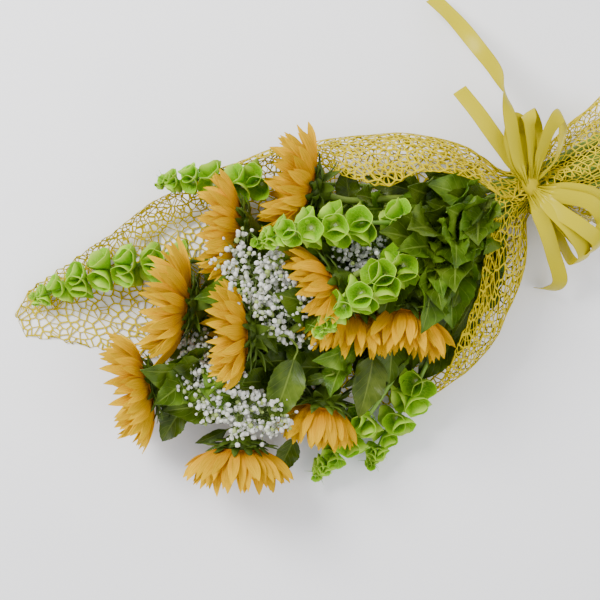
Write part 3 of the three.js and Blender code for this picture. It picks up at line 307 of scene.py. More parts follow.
# Stems, pushed apart in rounds until each has its own room through the tie
def startCourse(course, facing, slot):
    waist = np.array([tie["x"], slot[0], tie["z"] + slot[1]])
    points = [vec(p) for p in course]
    last = points[-1]
    reach = np.linalg.norm(last - waist)
    one = last + facing * reach * settling["leave"]
    two = waist - np.array([1, 0, 0]) * reach * settling["arrive"]
    steps = max(4, int(reach / settling["stepLength"] + 0.5))
    for i in range(1, steps + 1):
        t = i / steps
        k = 1 - t
        points.append(last * k**3 + one * 3 * k * k * t + two * 3 * k * t * t + waist * t**3)
    for share in beyondTie:
        points.append(np.array([
            tie["x"] + share * (cutEnds["x"] - tie["x"]),
            slot[0] * (1 + share * cutEnds["spreadY"]) + share * cutEnds["y"],
            tie["z"] + share * (cutEnds["z"] - tie["z"]) + slot[1] * (1 + share * cutEnds["spreadZ"]),
        ]))
    return np.array(points), len(points) - 1 - len(beyondTie)


def segmentPairs(a, b, c, d):
    u, v, w = b - a, d - c, a - c
    uu, uv, vv = (u * u).sum(-1), (u * v).sum(-1), (v * v).sum(-1)
    uw, vw = (u * w).sum(-1), (v * w).sum(-1)
    det = uu * vv - uv * uv
    s = np.where(det > 1e-9, np.clip((uv * vw - vv * uw) / np.where(det > 1e-9, det, 1), 0, 1), 0.5)
    t = np.clip((uv * s + vw) / vv, 0, 1)
    s = np.clip((uv * t - uw) / uu, 0, 1)
    return s, t, (a + u * s[..., None]) - (c + v * t[..., None])


def pushApart(one, two):
    need = one["radius"] + two["radius"] + stemGap
    p, q = one["points"], two["points"]
    near = segmentPairs(p[:-1, None], p[1:, None], q[None, :-1], q[None, 1:])[2]
    for i, k in np.argwhere((near * near).sum(-1) < (need + settling["watch"]) ** 2):
        s, t, apart = segmentPairs(p[i], p[i + 1], q[k], q[k + 1])
        distance = math.sqrt(apart @ apart)
        if distance >= need:
            continue
        if distance < 1e-6:
            apart = np.array([0, 0.6, 0.8])
        apart = apart / math.sqrt(apart @ apart) * (need - distance) * settling["push"]
        for stem, n, share in ((one, i, 1 - s), (one, i + 1, s), (two, k, t - 1), (two, k + 1, -t)):
            if n >= stem["fixed"]:
                stem["points"][n] += apart * share


def keepInBounds(stem):
    for point in stem["points"][stem["fixed"]:]:
        point[2] = max(point[2], stem["radius"] + floorClear)
        away = abs(point[0] - tie["x"])
        room = tieRoom - stem["radius"] + max(0, away - flare["from"]) * flare["slope"]
        past = (point[0] - tie["x"]) / (cutEnds["x"] - tie["x"])
        centre = cutEnds["y"] * past if point[0] > tie["x"] + flare["after"] else 0
        radial = math.hypot(point[1] - centre, point[2] - tie["z"])
        if radial > room and away < flare["to"]:
            point[1] = centre + ((point[1] - centre) * room) / radial
            point[2] = tie["z"] + ((point[2] - tie["z"]) * room) / radial
    stem["points"][stem["waist"], 0] = tie["x"]


guardCentres = np.array([
    [vec(at) + direction(faces, tilt) * ahead for ahead, _ in headGuards] for at, faces, tilt, *_ in heads
])


def keepOffHeads(stem):
    points, fixed = stem["points"], stem["fixed"]
    a, b = points[fixed - 1:-1], points[fixed:]
    along = b - a
    to = guardCentres[:, :, None] - a
    t = np.clip((to * along).sum(-1) / (along * along).sum(-1), 0, 1)
    away = np.linalg.norm(a + along * t[..., None] - guardCentres[:, :, None], axis=-1)
    room = np.array([radius for _, radius in headGuards])[None, :, None] + stem["radius"]
    for n, g, i in np.argwhere(away < room + settling["watchHead"]):
        if stem.get("head") == n:
            continue
        one, two = points[fixed - 1 + i], points[fixed + i]
        line = two - one
        share = clamp(((guardCentres[n, g] - one) @ line) / (line @ line), 0, 1)
        off = one + line * share - guardCentres[n, g]
        overlap = headGuards[g][1] + stem["radius"] - math.sqrt(off @ off)
        if overlap <= 0:
            continue
        off = off / math.sqrt(off @ off) * overlap * settling["headPush"]
        if i > 0:
            one += off * (1 - share)
        two += off * share


def smoothCourse(stem):
    points = stem["points"]
    for i in range(stem["fixed"], len(points) - 1):
        if i != stem["waist"]:
            points[i] += ((points[i - 1] + points[i + 1]) * 0.5 - points[i]) * settling["smooth"]


def settleStems():
    stems = []

    def slotOf(at):
        most = tieSlot["most"]
        return [clamp(at[1] / tieSlot["perY"], -most, most),
                clamp((at[2] - tieSlot["level"]) / tieSlot["perZ"], -most, most)]

    def add(name, radius, course, facing, slotAt, **more):
        points, waist = startCourse(course, facing, slotOf(slotAt))
        stems.append({"name": name, "radius": radius, "points": points, "waist": waist,
                      "fixed": len(course), **more})

    for n, (at, faces, tilt, *_) in enumerate(heads):
        facing = direction(faces, tilt)
        inCalyx = vec(at) - facing * 0.54 * calyx["depth"]
        course = [inCalyx, inCalyx - facing * neck]
        add(f"sunflower_{n + 1}_stem", stemRadius["sunflower"], course, -facing, at, head=n)
    for prefix, kind, courses in (
        ("bells_of_ireland", "bells", [item[-1] for item in bellStems]),
        ("babys_breath", "breath", [item[-1] for item in breathStems]),
    ):
        for n, course in enumerate(courses):
            facing = unit(vec(course[-1]) - vec(course[-2]))
            add(f"{prefix}_{n + 1}", stemRadius[kind], course, facing, course[-1])
    for turn in range(settling["rounds"]):
        for stem in stems:
            smoothCourse(stem)
            if turn < settling["rounds"] - settling["lastFree"]:
                keepOffHeads(stem)
        for i, one in enumerate(stems):
            for two in stems[i + 1:]:
                pushApart(one, two)
        for stem in stems:
            keepInBounds(stem)
    return stems


# Where the frame's solids are, in the layout's millimetres
def solidTree(names):
    points, faces = [], []
    for name in names:
        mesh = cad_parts[name].data
        first = len(points)
        points += [(vec(v.co) * 1000 - layoutShift).tolist() for v in mesh.vertices]
        faces += [[first + i for i in p.vertices] for p in mesh.polygons]
    return BVHTree.FromPolygons(points, faces)


solidTrees = {name: solidTree([name]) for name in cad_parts}
plantTree = solidTree([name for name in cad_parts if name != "net_wrap"])


# A blade's points may be covered by its own node's other blades, so only a share of them has to lie on it
def liesOn(name, points, share=0.6, tolerance=0.15):
    found = sum(solidTrees[name].find_nearest(Vector(p))[3] < tolerance for p in points)
    return found >= share * len(points)


added = []                                             # centre and reach of each cup that the frame lacks


def room(point):
    gap = plantTree.find_nearest(Vector(point))[3]
    for centre, reach in added:
        if abs(centre[0] - point[0]) < reach + gap:
            gap = min(gap, np.linalg.norm(centre - point) - reach)
    return gap


# Meshes are gathered in heaps: points in layout millimetres, faces, a UV and a tint for each point
def newHeap():
    return {"points": [], "faces": [], "uv": [], "tint": [], "material": [], "count": 0}


def addShape(heap, points, faces, uv, tint=0.5, material=0):
    start = heap["count"]
    heap["points"].append(np.asarray(points, dtype=float))
    heap["faces"] += [tuple(start + i for i in face) for face in faces]
    heap["material"] += [material] * len(faces)
    heap["uv"].append(np.asarray(uv, dtype=float))
    heap["tint"].append(np.broadcast_to(np.asarray(tint, dtype=float), (len(points),)))
    heap["count"] += len(points)


def clearSelection():
    for ob in list(bpy.context.selected_objects):
        ob.select_set(False)


def addObject(name, data):
    ob = bpy.data.objects.new(name, data)
    bpy.context.scene.collection.objects.link(ob)
    return ob


def makeActive(ob):
    clearSelection()
    ob.select_set(True)
    bpy.context.view_layer.objects.active = ob


def thicken(ob, thickness):
    wall = ob.modifiers.new("wall", "SOLIDIFY")
    wall.thickness = thickness
    wall.offset = 0
    bpy.ops.object.modifier_apply(modifier="wall")


def makePiece(name, heap, materials, cadNode, smoothAngle=60):
    points = (np.vstack(heap["points"]) + layoutShift) / 1000
    mesh = bpy.data.meshes.new(name)
    mesh.from_pydata(points.tolist(), [], heap["faces"])
    for material in materials:
        mesh.materials.append(material)
    mesh.polygons.foreach_set("material_index", heap["material"])
    corners = np.empty(len(mesh.loops), dtype=int)
    mesh.loops.foreach_get("vertex_index", corners)
    mesh.uv_layers.new(name="UVMap").data.foreach_set("uv", np.vstack(heap["uv"])[corners].ravel())
    tint = mesh.attributes.new("tint", "FLOAT", "POINT")
    tint.data.foreach_set("value", np.concatenate(heap["tint"]).astype(np.float32))
    mesh.update()
    ob = addObject(name, mesh)
    makeActive(ob)
    bpy.ops.object.shade_smooth_by_angle(angle=math.radians(smoothAngle))
    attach(ob, "root")
    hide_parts(cadNode)
    return ob


# Templates are modelled once, read as arrays and bent to each place
def readTemplate():
    ob = bpy.context.object
    points = np.array([v.co for v in ob.data.vertices])
    faces = [tuple(p.vertices) for p in ob.data.polygons]
    bpy.data.objects.remove(ob)
    return points, faces


# A flat blade: along runs 0 to 1, across -1 to 1, deep -1 to 1 through its wall
def bladeTemplate(rows, columns):
    clearSelection()
    bpy.ops.mesh.primitive_grid_add(x_subdivisions=rows, y_subdivisions=columns, size=2)
    thicken(bpy.context.object, 1)
    points, faces = readTemplate()
    along = (points[:, 0] + 1) / 2
    return {
        "faces": faces,
        "along": along[:, None],
        "across": points[:, 1:2],
        "deep": np.sign(points[:, 2:]),
        "odd": np.rint(along * rows)[:, None] % 2,
    }


def ballTemplate(segments, rings):
    clearSelection()
    bpy.ops.mesh.primitive_uv_sphere_add(segments=segments, ring_count=rings, radius=1)
    return readTemplate()


petalBlade = bladeTemplate(8, 4)
bractBlade = bladeTemplate(6, 4)
leafBlade = bladeTemplate(20, 10)
smallLeafBlade = bladeTemplate(12, 6)
stripBlade = bladeTemplate(90, 8)
puff = ballTemplate(7, 5)
knotBall = ballTemplate(28, 16)


# Faces between rings of points that follow one another
def ringFaces(rings, sides, closed=False):
    faces = []
    for i in range(rings if closed else rings - 1):
        a, b = i * sides, (i + 1) % rings * sides
        faces += [(a + k, a + (k + 1) % sides, b + (k + 1) % sides, b + k) for k in range(sides)]
    return faces


def circle(sides):
    return np.arange(sides) * 2 * math.pi / sides


def tubeShape(heap, points, radii, sides, tint=0.5, material=0, rings=None):
    if rings:
        shares = np.linspace(0, 1, rings)
        radii = np.interp(shares, np.linspace(0, 1, len(radii)), radii)
        points = curvePoints(points, shares)
    points = np.asarray(points, dtype=float)
    tangents = np.gradient(points, axis=0)
    side = unit(np.cross(tangents[0], up + 0.01))
    angles = circle(sides)[:, None]
    loops, uv = [], []
    for point, tangent, radius, along in zip(points, tangents, radii, travelled(points)):
        tangent = unit(tangent)
        side = unit(side - tangent * (side @ tangent))
        loops.append(point + radius * (np.cos(angles) * side + np.sin(angles) * np.cross(tangent, side)))
        uv += [(along / 100, k / sides) for k in range(sides)]
    ends = [tuple(reversed(range(sides))), tuple(range((len(points) - 1) * sides, len(points) * sides))]
    addShape(heap, np.vstack(loops), ringFaces(len(points), sides) + ends, uv, tint, material)


# A turned form round a line: profile is [how far ahead, radius], lobes ripple its rim
def turnedShape(heap, root, facing, profile, sides, tint=0.5, material=0, lobes=None):
    side = unit(np.cross(facing, aslant))
    other = np.cross(facing, side)
    angles = circle(sides)
    points, uv, starts = [], [], []
    for row, (ahead, radius) in enumerate(profile):
        starts.append(len(points))
        if radius == 0:
            points.append(root + facing * ahead)
            uv.append((0.5, row / (len(profile) - 1)))
            continue
        for k, a in enumerate(angles):
            r, forth = radius, ahead
            if lobes:
                share = (radius / lobes["rim"]) ** 2
                phase = lobes["count"] * a + lobes["turn"]
                r *= 1 + lobes["open"] * share * math.cos(phase)
                forth += lobes["deep"] * share * math.cos(phase + 0.9)
            points.append(root + facing * forth + (side * math.cos(a) + other * math.sin(a)) * r)
            uv.append((k / sides, row / (len(profile) - 1)))
    faces = []
    for row in range(len(profile) - 1):
        a, b = starts[row], starts[row + 1]
        for k in range(sides):
            n = (k + 1) % sides
            if profile[row][1] == 0:
                faces.append((a, b + n, b + k))
            elif profile[row + 1][1] == 0:
                faces.append((a + k, a + n, b))
            else:
                faces.append((a + k, a + n, b + n, b + k))
    addShape(heap, points, faces, uv, tint, material)


# Sunflower heads. An outline is the share of the width at shares of the length
petalShape = {
    "outline": ([0, 0.1, 0.25, 0.45, 0.62, 0.77, 0.88, 0.95, 1],
                [0.5, 0.66, 0.88, 1, 0.96, 0.76, 0.48, 0.22, 0.03]),
    "wall": 0.3,          # half the petal's thickness
    "turn": 0.75,         # the most that a petal seen edge-on twists to lie flat
    "groove": 0.8,        # depth of the two lengthwise grooves
    "tipBend": 5,         # how far a tip strays in or out
    "bends": [0, -8, 8, -16, -24, 14, -32],    # the frame's tries, in degrees
    "between": 54,        # more petals, behind and between the two rings
    "betweenSpread": 34,
}
bractShape = {
    "outline": ([0, 0.2, 0.45, 0.7, 0.88, 1], [1, 1.08, 0.95, 0.62, 0.28, 0.02]),
    "wall": 0.35,
    "turn": 0,
    "groove": 0.3,
    "tipBend": 4,
    "more": 22,           # more bracts in two rows, lying closer to the cup
    "closer": [(24, -5, 52), (20, -11, 70)],    # radius, height and spread of each row
}


def headAxes(item):
    facing = direction(item[1], item[2])
    side = unit(np.cross(up, facing))
    return {"centre": vec(item[0]), "facing": facing, "side": side, "upward": np.cross(facing, side)}


def outward(axes, angle):
    return axes["side"] * math.cos(angle) + axes["upward"] * math.sin(angle)


def onHead(axes, angle, radius, height):
    return axes["centre"] + outward(axes, angle) * radius + axes["facing"] * height


# Where the frame's blade goes: its foot, its belly's middle, its tip, and its side and normal
def bladeFrame(axes, foot, angle, spread, curl, length):
    away = outward(axes, angle)

    def along(bend):
        return axes["facing"] * math.cos(math.radians(bend)) + away * math.sin(math.radians(bend))

    side = unit(np.cross(axes["facing"], away))
    belly = foot + along(spread) * length * 0.5
    tip = belly + along(spread - curl) * length * 0.5
    return foot, belly, tip, side, np.cross(side, along(spread - curl / 2))


def panelFoot(axes, outline, row, k, sides):
    (r0, h0), (r1, h1) = outline[row], outline[(row + 1) % len(outline)]
    one = onHead(axes, 2 * math.pi * k / sides, r0, h0)
    return (one + onHead(axes, 2 * math.pi * (k + 1) / sides, r1, h1)) / 2


def findBlade(name, axes, foot, angle, spreads, curl, length, size):
    for spread in spreads:
        blade = bladeFrame(axes, foot, angle, spread, curl, length)
        _, belly, tip, side, normal = blade
        edges = [belly + side * sign * size["width"] / 2 + normal * size["fold"] for sign in (1, -1)]
        if liesOn(name, [tip, *edges]):
            return blade
    return None


def addBlade(heap, template, blade, width, fold, shape, draw, tint, material=0):
    foot, belly, tip, side, normal = blade
    s, v, deep = template["along"], template["across"], template["deep"]
    part = np.interp(s, *shape["outline"])
    centre = foot * (2 * s - 1) * (s - 1) + belly * 4 * s * (1 - s) + tip * s * (2 * s - 1)
    stray = (draw() - 0.5) * 2 * shape["tipBend"]
    twist = (draw() - 0.5) * 0.7
    axis = unit(tip - foot)
    flat = unit(np.cross(up, axis))
    flat *= 1 if flat @ side > 0 else -1
    away = math.acos(clamp(flat @ side, -1, 1)) * math.copysign(1, np.cross(side, flat) @ axis)
    twist += clamp(away, -shape["turn"], shape["turn"]) * math.copysign(1, np.cross(side, normal) @ axis)
    turned = side * np.cos(twist * s**0.7) + normal * np.sin(twist * s**0.7)
    rise = fold * v**2 * part + shape["groove"] * np.cos(3 * math.pi * v) * part * (1 - 0.6 * s)
    rise += 0.5 * np.sin(s * 9 + draw() * 6) * np.abs(v) * part
    aside = side * (draw() - 0.5) * shape["tipBend"] * 1.6 * s**2
    rise += stray * s**3 + deep * shape["wall"]
    points = centre + aside + turned * v * part * width / 2 + normal * rise
    addShape(heap, points, template["faces"], np.hstack([s, (v + 1) / 2]), tint, material)


ringOutline = [
    (ring["inner"], 0), (ring["outer"], 0),
    (ring["outer"] - 1, ring["height"]), (ring["inner"], ring["height"]),
]
calyxOutline = [
    (0, -calyx["depth"]), (stemRadius["sunflower"] + 1, -calyx["depth"]),
    (calyx["radius"] * 0.66, -calyx["depth"] * 0.56), (calyx["radius"], -6), (calyx["radius"] - 0.5, -0.3),
    (0, -0.3),
]


def buildPetals(n, item, axes):
    heap = newHeap()
    name = f"sunflower_{n + 1}_petals"
    draw, extra = twoDraws("petals", n)
    _, _, _, petalLength, outer, inner = item
    sides = petal["perLayer"]
    kept = 0
    for row, spreadOf, turn in ((1, outer, 0.5), (2, inner, 1)):
        for k in range(sides):
            angle = 2 * math.pi * (k + turn + (draw() - 0.5) * 0.3) / sides
            spread = spreadOf + (draw() - 0.5) * 14
            curl = 6 + draw() * 14
            length = petalLength * (0.94 + draw() * 0.12)
            foot = panelFoot(axes, ringOutline, row, k, sides)
            spreads = [max(spread + bend, 6) for bend in petalShape["bends"]]
            blade = findBlade(name, axes, foot, angle, spreads, curl, length, petal)
            if blade is None:
                continue
            kept += 1
            width = petal["width"] * (0.84 + 0.2 * extra())
            addBlade(heap, petalBlade, blade, width, petal["fold"], petalShape, extra, extra())
    for k in range(petalShape["between"]):
        angle = 2 * math.pi * (k + 0.25 + (extra() - 0.5) * 0.5) / petalShape["between"]
        spread = (outer + inner) / 2 + (extra() - 0.5) * petalShape["betweenSpread"]
        length = petalLength * (0.82 + 0.2 * extra())
        foot = onHead(axes, angle, ring["outer"] - 1.5, ring["height"] * 0.8)
        blade = bladeFrame(axes, foot, angle, spread, 6 + extra() * 14, length)
        if blade[2][2] < 4:                            # its tip would touch the table
            continue
        width = petal["width"] * (0.64 + 0.2 * extra())
        addBlade(heap, petalBlade, blade, width, petal["fold"], petalShape, extra, extra())
    angles = circle(40)
    for corners in zip(ringOutline, ringOutline[1:] + ringOutline[:1]):    # the ring under the petals
        points = [onHead(axes, a, radius, height) for radius, height in corners for a in angles]
        addShape(heap, points, ringFaces(2, len(angles)), [(0.02, 0.5)] * len(points))
    makePiece(f"petals_{n + 1}", heap, [petalMaterials[n]], name)
    say(f"sunflower {n + 1}: {kept} of {2 * sides} petals found")


def buildDisc(n, axes):
    heap = newHeap()
    heights = [0, 2.4, 4.4, 5.6, 6, 6.1]
    radii = [disc["radius"] * share for share in (1, 1, 0.8, 0.5, 0.2, 0)]
    turnedShape(heap, axes["centre"], axes["facing"], [(0, 0), *zip(heights, radii)], 24, 0.1)
    golden = math.pi * (3 - math.sqrt(5))              # the florets stand in a sunflower's spiral
    for k in range(disc["florets"]):
        share = math.sqrt((k + 0.5) / disc["florets"])
        radius = disc["radius"] * 0.96 * share
        foot = onHead(axes, k * golden, radius, np.interp(radius, radii[::-1], heights[::-1]) - 0.5)
        lean = unit(axes["facing"] + outward(axes, k * golden) * share * 0.5)
        tall = 1.7 + 0.9 * share
        turnedShape(heap, foot, lean, [(0, 0.75), (tall * 0.7, 0.85), (tall, 0)], 5, share)
    makePiece(f"disc_{n + 1}", heap, [discMaterial], f"sunflower_{n + 1}_disc")


# Leaves
leafShape = {
    "outline": ([0, 0.05, 0.13, 0.22, 0.33, 0.46, 0.6, 0.74, 0.87, 0.95, 1],
                [0.1, 0.42, 0.76, 0.94, 1, 0.97, 0.84, 0.6, 0.32, 0.13, 0.01]),
    "wall": 0.28,
    "teeth": 0.028,
    "ripple": 0.07,
    "fold": 0.2,
    "quilt": 0.013,
    "veins": 6.5,
    "clear": 1.5,         # the least height above the table
}
# Where a leaf is tested: shares of its length, of its width there, and how far its edges fold up
leafSpots = {
    "show": [(0.48, 1, 0.23), (0.68, 0.66, 0.11)],
    "fill": [(0.3, 1, 0.23), (0.64, 0.74, 0.11)],
    "roomy": [(0.25, 0.9, 0.2), (0.48, 1, 0.2), (0.7, 0.66, 0.15)],
    "dense": [(0.2, 0.8, 0.18), (0.5, 0.9, 0.18), (0.75, 0.5, 0.1)],
}
curls = {"large": 0.03, "small": 0.05, "inside": 0.13}


# A leaf is its blade, the point of the stem that its stalk comes from, and how far its tip curls.
# The blade is where it starts, its tip, width, roll and arch.
def leafAxes(blade):
    start, tip, _, roll, _ = blade
    line = tip - start
    length = np.linalg.norm(line)
    tangent = line / length
    side = turnAbout(unit(np.cross(up, tangent)), tangent, roll)
    return line, length, tangent, side, np.cross(tangent, side)


def addLeaf(heap, template, leaf, draw, tint):
    blade, foot, curl = leaf
    start, _, width, _, arch = blade
    line, length, tangent, side, normal = leafAxes(blade)
    s, v, deep = template["along"], template["across"], template["deep"]
    part = np.interp(s, *leafShape["outline"])
    half = width / 2 * part * (1 + (1 - 2 * template["odd"]) * leafShape["teeth"] * np.abs(v) ** 6)
    wave = np.sin((2.1 + draw()) * 2 * math.pi * s + draw() * 6 + np.sign(v) * draw() * 3)
    quilt = np.cos(2 * math.pi * leafShape["veins"] * (s - 0.3 * np.abs(v)))
    rise = leafShape["fold"] * width * part * np.abs(v) ** 1.2
    rise += leafShape["ripple"] * width * wave * v**2 * part * 1.4
    rise += leafShape["quilt"] * width * quilt * np.abs(v)
    rise -= curl * length * (draw() - 0.2) * s**2.5
    centre = start + line * s + normal * arch * length * 4 * s * (1 - s)
    points = centre + side * v * half + normal * (rise + deep * leafShape["wall"])
    points[:, 2] = np.maximum(points[:, 2], leafShape["clear"])
    addShape(heap, points, template["faces"], np.hstack([s, (v + 1) / 2]), tint, 1)
    bend = start - tangent * min(14, np.linalg.norm(start - foot) * 0.4)
    tubeShape(heap, [foot, bend, start, start + line * 0.1], [1.9, 1.4, 1.2, 0.6], 6, 0.6, 0, rings=8)


def leafEdges(blade, kind):
    start, tip, width, _, arch = blade
    line, length, _, side, normal = leafAxes(blade)
    edges = [tip]
    for share, part, fold in leafSpots[kind]:
        centre = start + line * share + normal * arch * length * 4 * share * (1 - share)
        edges += [centre + side * sign * width * part / 2 + normal * fold * width * part for sign in (1, -1)]
    return edges


def leafMiddles(start, tip, shares):
    return [start + (tip - start) * share for share in shares]


def stemPointsNear(foot, count):
    found = []
    for stem in stems[:len(heads)]:
        nearest = []
        for a, b in zip(stem["points"][1:-1], stem["points"][2:]):
            along = b - a
            point = a + along * clamp(((foot - a) @ along) / (along @ along), 0, 1)
            nearest.append((np.linalg.norm(point - foot), stem["name"], point))
        found.append(min(nearest, key=lambda item: item[0]))
    return sorted(found, key=lambda item: item[0])[:count]


# A point at a share of the way to the tie, and the stem's heading there
def pointOnStem(stem, share):
    spot = share * stem["waist"]
    i = max(1, math.floor(spot))
    a, b = stem["points"][i], stem["points"][i + 1]
    return a + (b - a) * (spot - math.floor(spot)), unit(a - b)


# The lift and turn that give a leaf the most room, the smallest lift first
def addRoomyLeaf(start, tip, width, roll, arch):
    _, name, point = stemPointsNear(start, 1)[0]
    best = (-math.inf, None)
    for turn in (0, 0.4, -0.4, 0.8, -0.8):
        for lift in range(-21, 31, 3):
            blade = (start + up * lift, tip + up * lift * 1.2, width, roll + turn, arch)
            tested = leafMiddles(*blade[:2], (0.1, 0.3, 0.5, 0.7, 0.9)) + leafEdges(blade, "roomy")
            value = min(min(room(p) for p in tested), 3) - abs(lift) * 0.03
            if value > best[0]:
                best = (value, blade)
    leaves[name].append((best[1], point, curls["large"]))


def findShowLeaf(start, tip, width, roll, arch):
    for _, name, point in stemPointsNear(start, 3):
        for turn in (0, 0.5, -0.5):
            for lift in (0, 5, -6, 11, -12, 17, -18, 24):
                blade = (start + up * lift, tip + up * lift, width, roll + turn, arch)
                if liesOn(name, leafEdges(blade, "show")):
                    leaves[name].append((blade, point, curls["large"]))
                    return True
    return False


def addShowLeaves():
    draw = seededDraw(seeds["showLeaves"])
    found = 0
    for start, tip, width in showLeaves:
        roll = (draw() - 0.5) * 0.7
        arch = 0.05 + draw() * 0.06
        if findShowLeaf(vec(start), vec(tip), width, roll, arch):
            found += 1
        else:                                          # one that had no room as a thick solid blade
            addRoomyLeaf(vec(start), vec(tip), width, roll, arch)
    for start, tip, width in moreLeaves:
        addRoomyLeaf(vec(start), vec(tip), width, draw() - 0.5, 0.06)
    say(f"large leaves {found} of {len(showLeaves)}")


def addFillLeaves():
    draw = seededDraw(seeds["fillLeaves"])
    count = 0
    for stem in stems[:len(heads)]:
        for share in fillLeaf["shares"]:
            point, tangent = pointOnStem(stem, share)
            firstTurn = draw() * 2 * math.pi
            width = between(fillLeaf["width"], draw())
            for attempt in range(9):
                heading = unit(squareTo(tangent, firstTurn + attempt * 2.4) + tangent * 1.1)
                start = point + heading * fillLeaf["stalk"]
                blade = (start, start + heading * (fillLeaf["length"] - attempt * 2), width, 0.2, 0.06)
                if liesOn(stem["name"], leafEdges(blade, "fill")):
                    leaves[stem["name"]].append((blade, point, curls["small"]))
                    count += 1
                    break
    say(f"small leaves {count}")


# More leaves where there is room, so that the bunch is dense inside
denseLeaves = {
    "tries": 9000, "most": 170, "length": [52, 106], "stalk": 16, "gap": 1.0, "apart": 14,
    "from": -190, "to": 268, "clear": 8, "fromNet": 7, "netFrom": 60,
    "inView": [4, 5, 6, 8, 10],                        # large leaves that the photo shows whole
    "highest": ([-190, -60, 20, 110, 160, 210, 255, 290], [20, 90, 140, 118, 88, 74, 62, 45]),    # y by x
}


def hides(point, leaf):
    start, tip = vec(leaf[0]), vec(leaf[1])
    line = tip - start
    share = clamp(((point - start)[:2] @ line[:2]) / (line[:2] @ line[:2]), 0, 1)
    under = start + line * share
    return np.linalg.norm((point - under)[:2]) < leaf[2] * 0.55 and point[2] > under[2] - 6


def pastNet(point):
    outline = wrapOutline(clamp(point[0], -350, 470))
    low, high = outline[2][1] + denseLeaves["fromNet"], outline[6][1] - denseLeaves["fromNet"]
    return point[0] > denseLeaves["netFrom"] and not low < point[1] < high


def hasNoPlace(blade, placed):
    start, tip = blade[:2]
    edges, middles = leafEdges(blade, "dense"), leafMiddles(start, tip, (0.25, 0.5, 0.75))
    return (
        not denseLeaves["from"] < start[0] < denseLeaves["to"]
        or min(start[2], tip[2]) < denseLeaves["clear"]
        or any(p[1] > np.interp(p[0], *denseLeaves["highest"]) for p in edges)
        or any(hides(p, showLeaves[k]) for k in denseLeaves["inView"] for p in edges)
        or any(pastNet(p) for p in edges)
        or any(room(p) < denseLeaves["gap"] for p in edges + middles)
        or any(np.linalg.norm(middles[1] - other) < denseLeaves["apart"] for other in placed)
    )


def addDenseLeaves():
    draw = seededDraw(seeds["denseLeaves"])
    placed = []
    for _ in range(denseLeaves["tries"]):
        stem = stems[int(draw() * len(heads))]
        point, tangent = pointOnStem(stem, 0.12 + 0.83 * draw())
        aside = unit(squareTo(tangent, draw() * 2 * math.pi) + up * 0.25)
        heading = unit(aside + tangent * (0.5 + draw()))
        length = between(denseLeaves["length"], draw())
        start = point + heading * denseLeaves["stalk"]
        width = length * (0.52 + 0.2 * draw())
        blade = (start, start + heading * length, width, (draw() - 0.5) * 1.5, 0.05)
        if len(placed) < denseLeaves["most"] and not hasNoPlace(blade, placed):
            placed.append(leafMiddles(*blade[:2], (0.5,))[0])
            leaves[stem["name"]].append((blade, point, curls["inside"]))
    say(f"leaves added inside {len(placed)}")


def buildStalk(n, axes):
    heap = newHeap()
    stem = stems[n]
    name = stem["name"]
    draw, extra = twoDraws("stalk", n)
    radius, deep, wide = stem["radius"], calyx["depth"], calyx["radius"]
    tubeShape(heap, stem["points"], [radius] * 8, 12, 0.4, 0, rings=64)
    cup = [(-deep, 0), (0.3 - deep, radius + 0.4), (-deep * 0.8, 9.5), (-deep * 0.56, wide * 0.66), (-11, 21),
           (-6, wide - 0.8), (-2.5, wide - 0.4), (-0.5, wide - 1), (-0.4, 0)]
    turnedShape(heap, axes["centre"], axes["facing"], cup, 28, 0.5, 2)
    sides = bract["count"]
    for row in (3,) if n % 2 else (2, 3):              # every other head has only its front row in the frame
        for k in range(sides):
            angle = 2 * math.pi * (k + 0.5 + (draw() - 0.5) * 0.4) / sides
            spread = (128 if row == 2 else 98) + (draw() - 0.5) * 22
            length = bract["length"] * (0.8 + draw() * 0.4)
            foot = panelFoot(axes, calyxOutline, row, k, sides)
            spreads = [spread + attempt * 12 for attempt in range(4)]
            blade = findBlade(name, axes, foot, angle, spreads, 16, length, bract)
            if blade is not None:
                addBlade(heap, bractBlade, blade, bract["width"] * 1.15, -1.4, bractShape, extra, extra(), 2)
    for k in range(bractShape["more"]):
        perRow = bractShape["more"] // 2
        angle = 2 * math.pi * (k + 0.3 * extra()) / perRow
        reach, height, spread = bractShape["closer"][k // perRow]
        spread += 22 * extra()
        foot = onHead(axes, angle, reach, height)
        blade = bladeFrame(axes, foot, angle, spread, 22, bract["length"] * (0.62 + 0.25 * extra()))
        addBlade(heap, bractBlade, blade, bract["width"] * 0.95, -1.2, bractShape, extra, extra(), 2)
    for leaf in leaves[name]:
        inside = leaf[2] == curls["inside"]
        template = leafBlade if leaf[0][2] > (36 if inside else 21) else smallLeafBlade
        tint = 0.15 + 0.7 * extra() if inside else 0.35 * extra()
        addLeaf(heap, template, leaf, extra, tint)
    makePiece(f"stalk_{n + 1}", heap, [stemMaterial, leafMaterial, bractMaterial], name)


# Bells of Ireland
bellShape = {
    "sides": 18, "lobes": 5, "open": 0.05, "deep": 0.8,
    "more": 11,           # more cups round each whorl, where there is room
    "atTip": 10,          # small crowded cups at the growing tip
    "spines": 5, "spineLonger": 1.7,
}
bellProfile = [
    (0.0, 0.0), (0.02, 0.1), (0.14, 0.22), (0.3, 0.37), (0.42, 0.52), (0.6, 0.72), (0.8, 0.89), (1.0, 1.0),
    (1.01, 0.975), (0.8, 0.84), (0.6, 0.66), (0.44, 0.46), (0.32, 0.24), (0.3, 0.0),
]


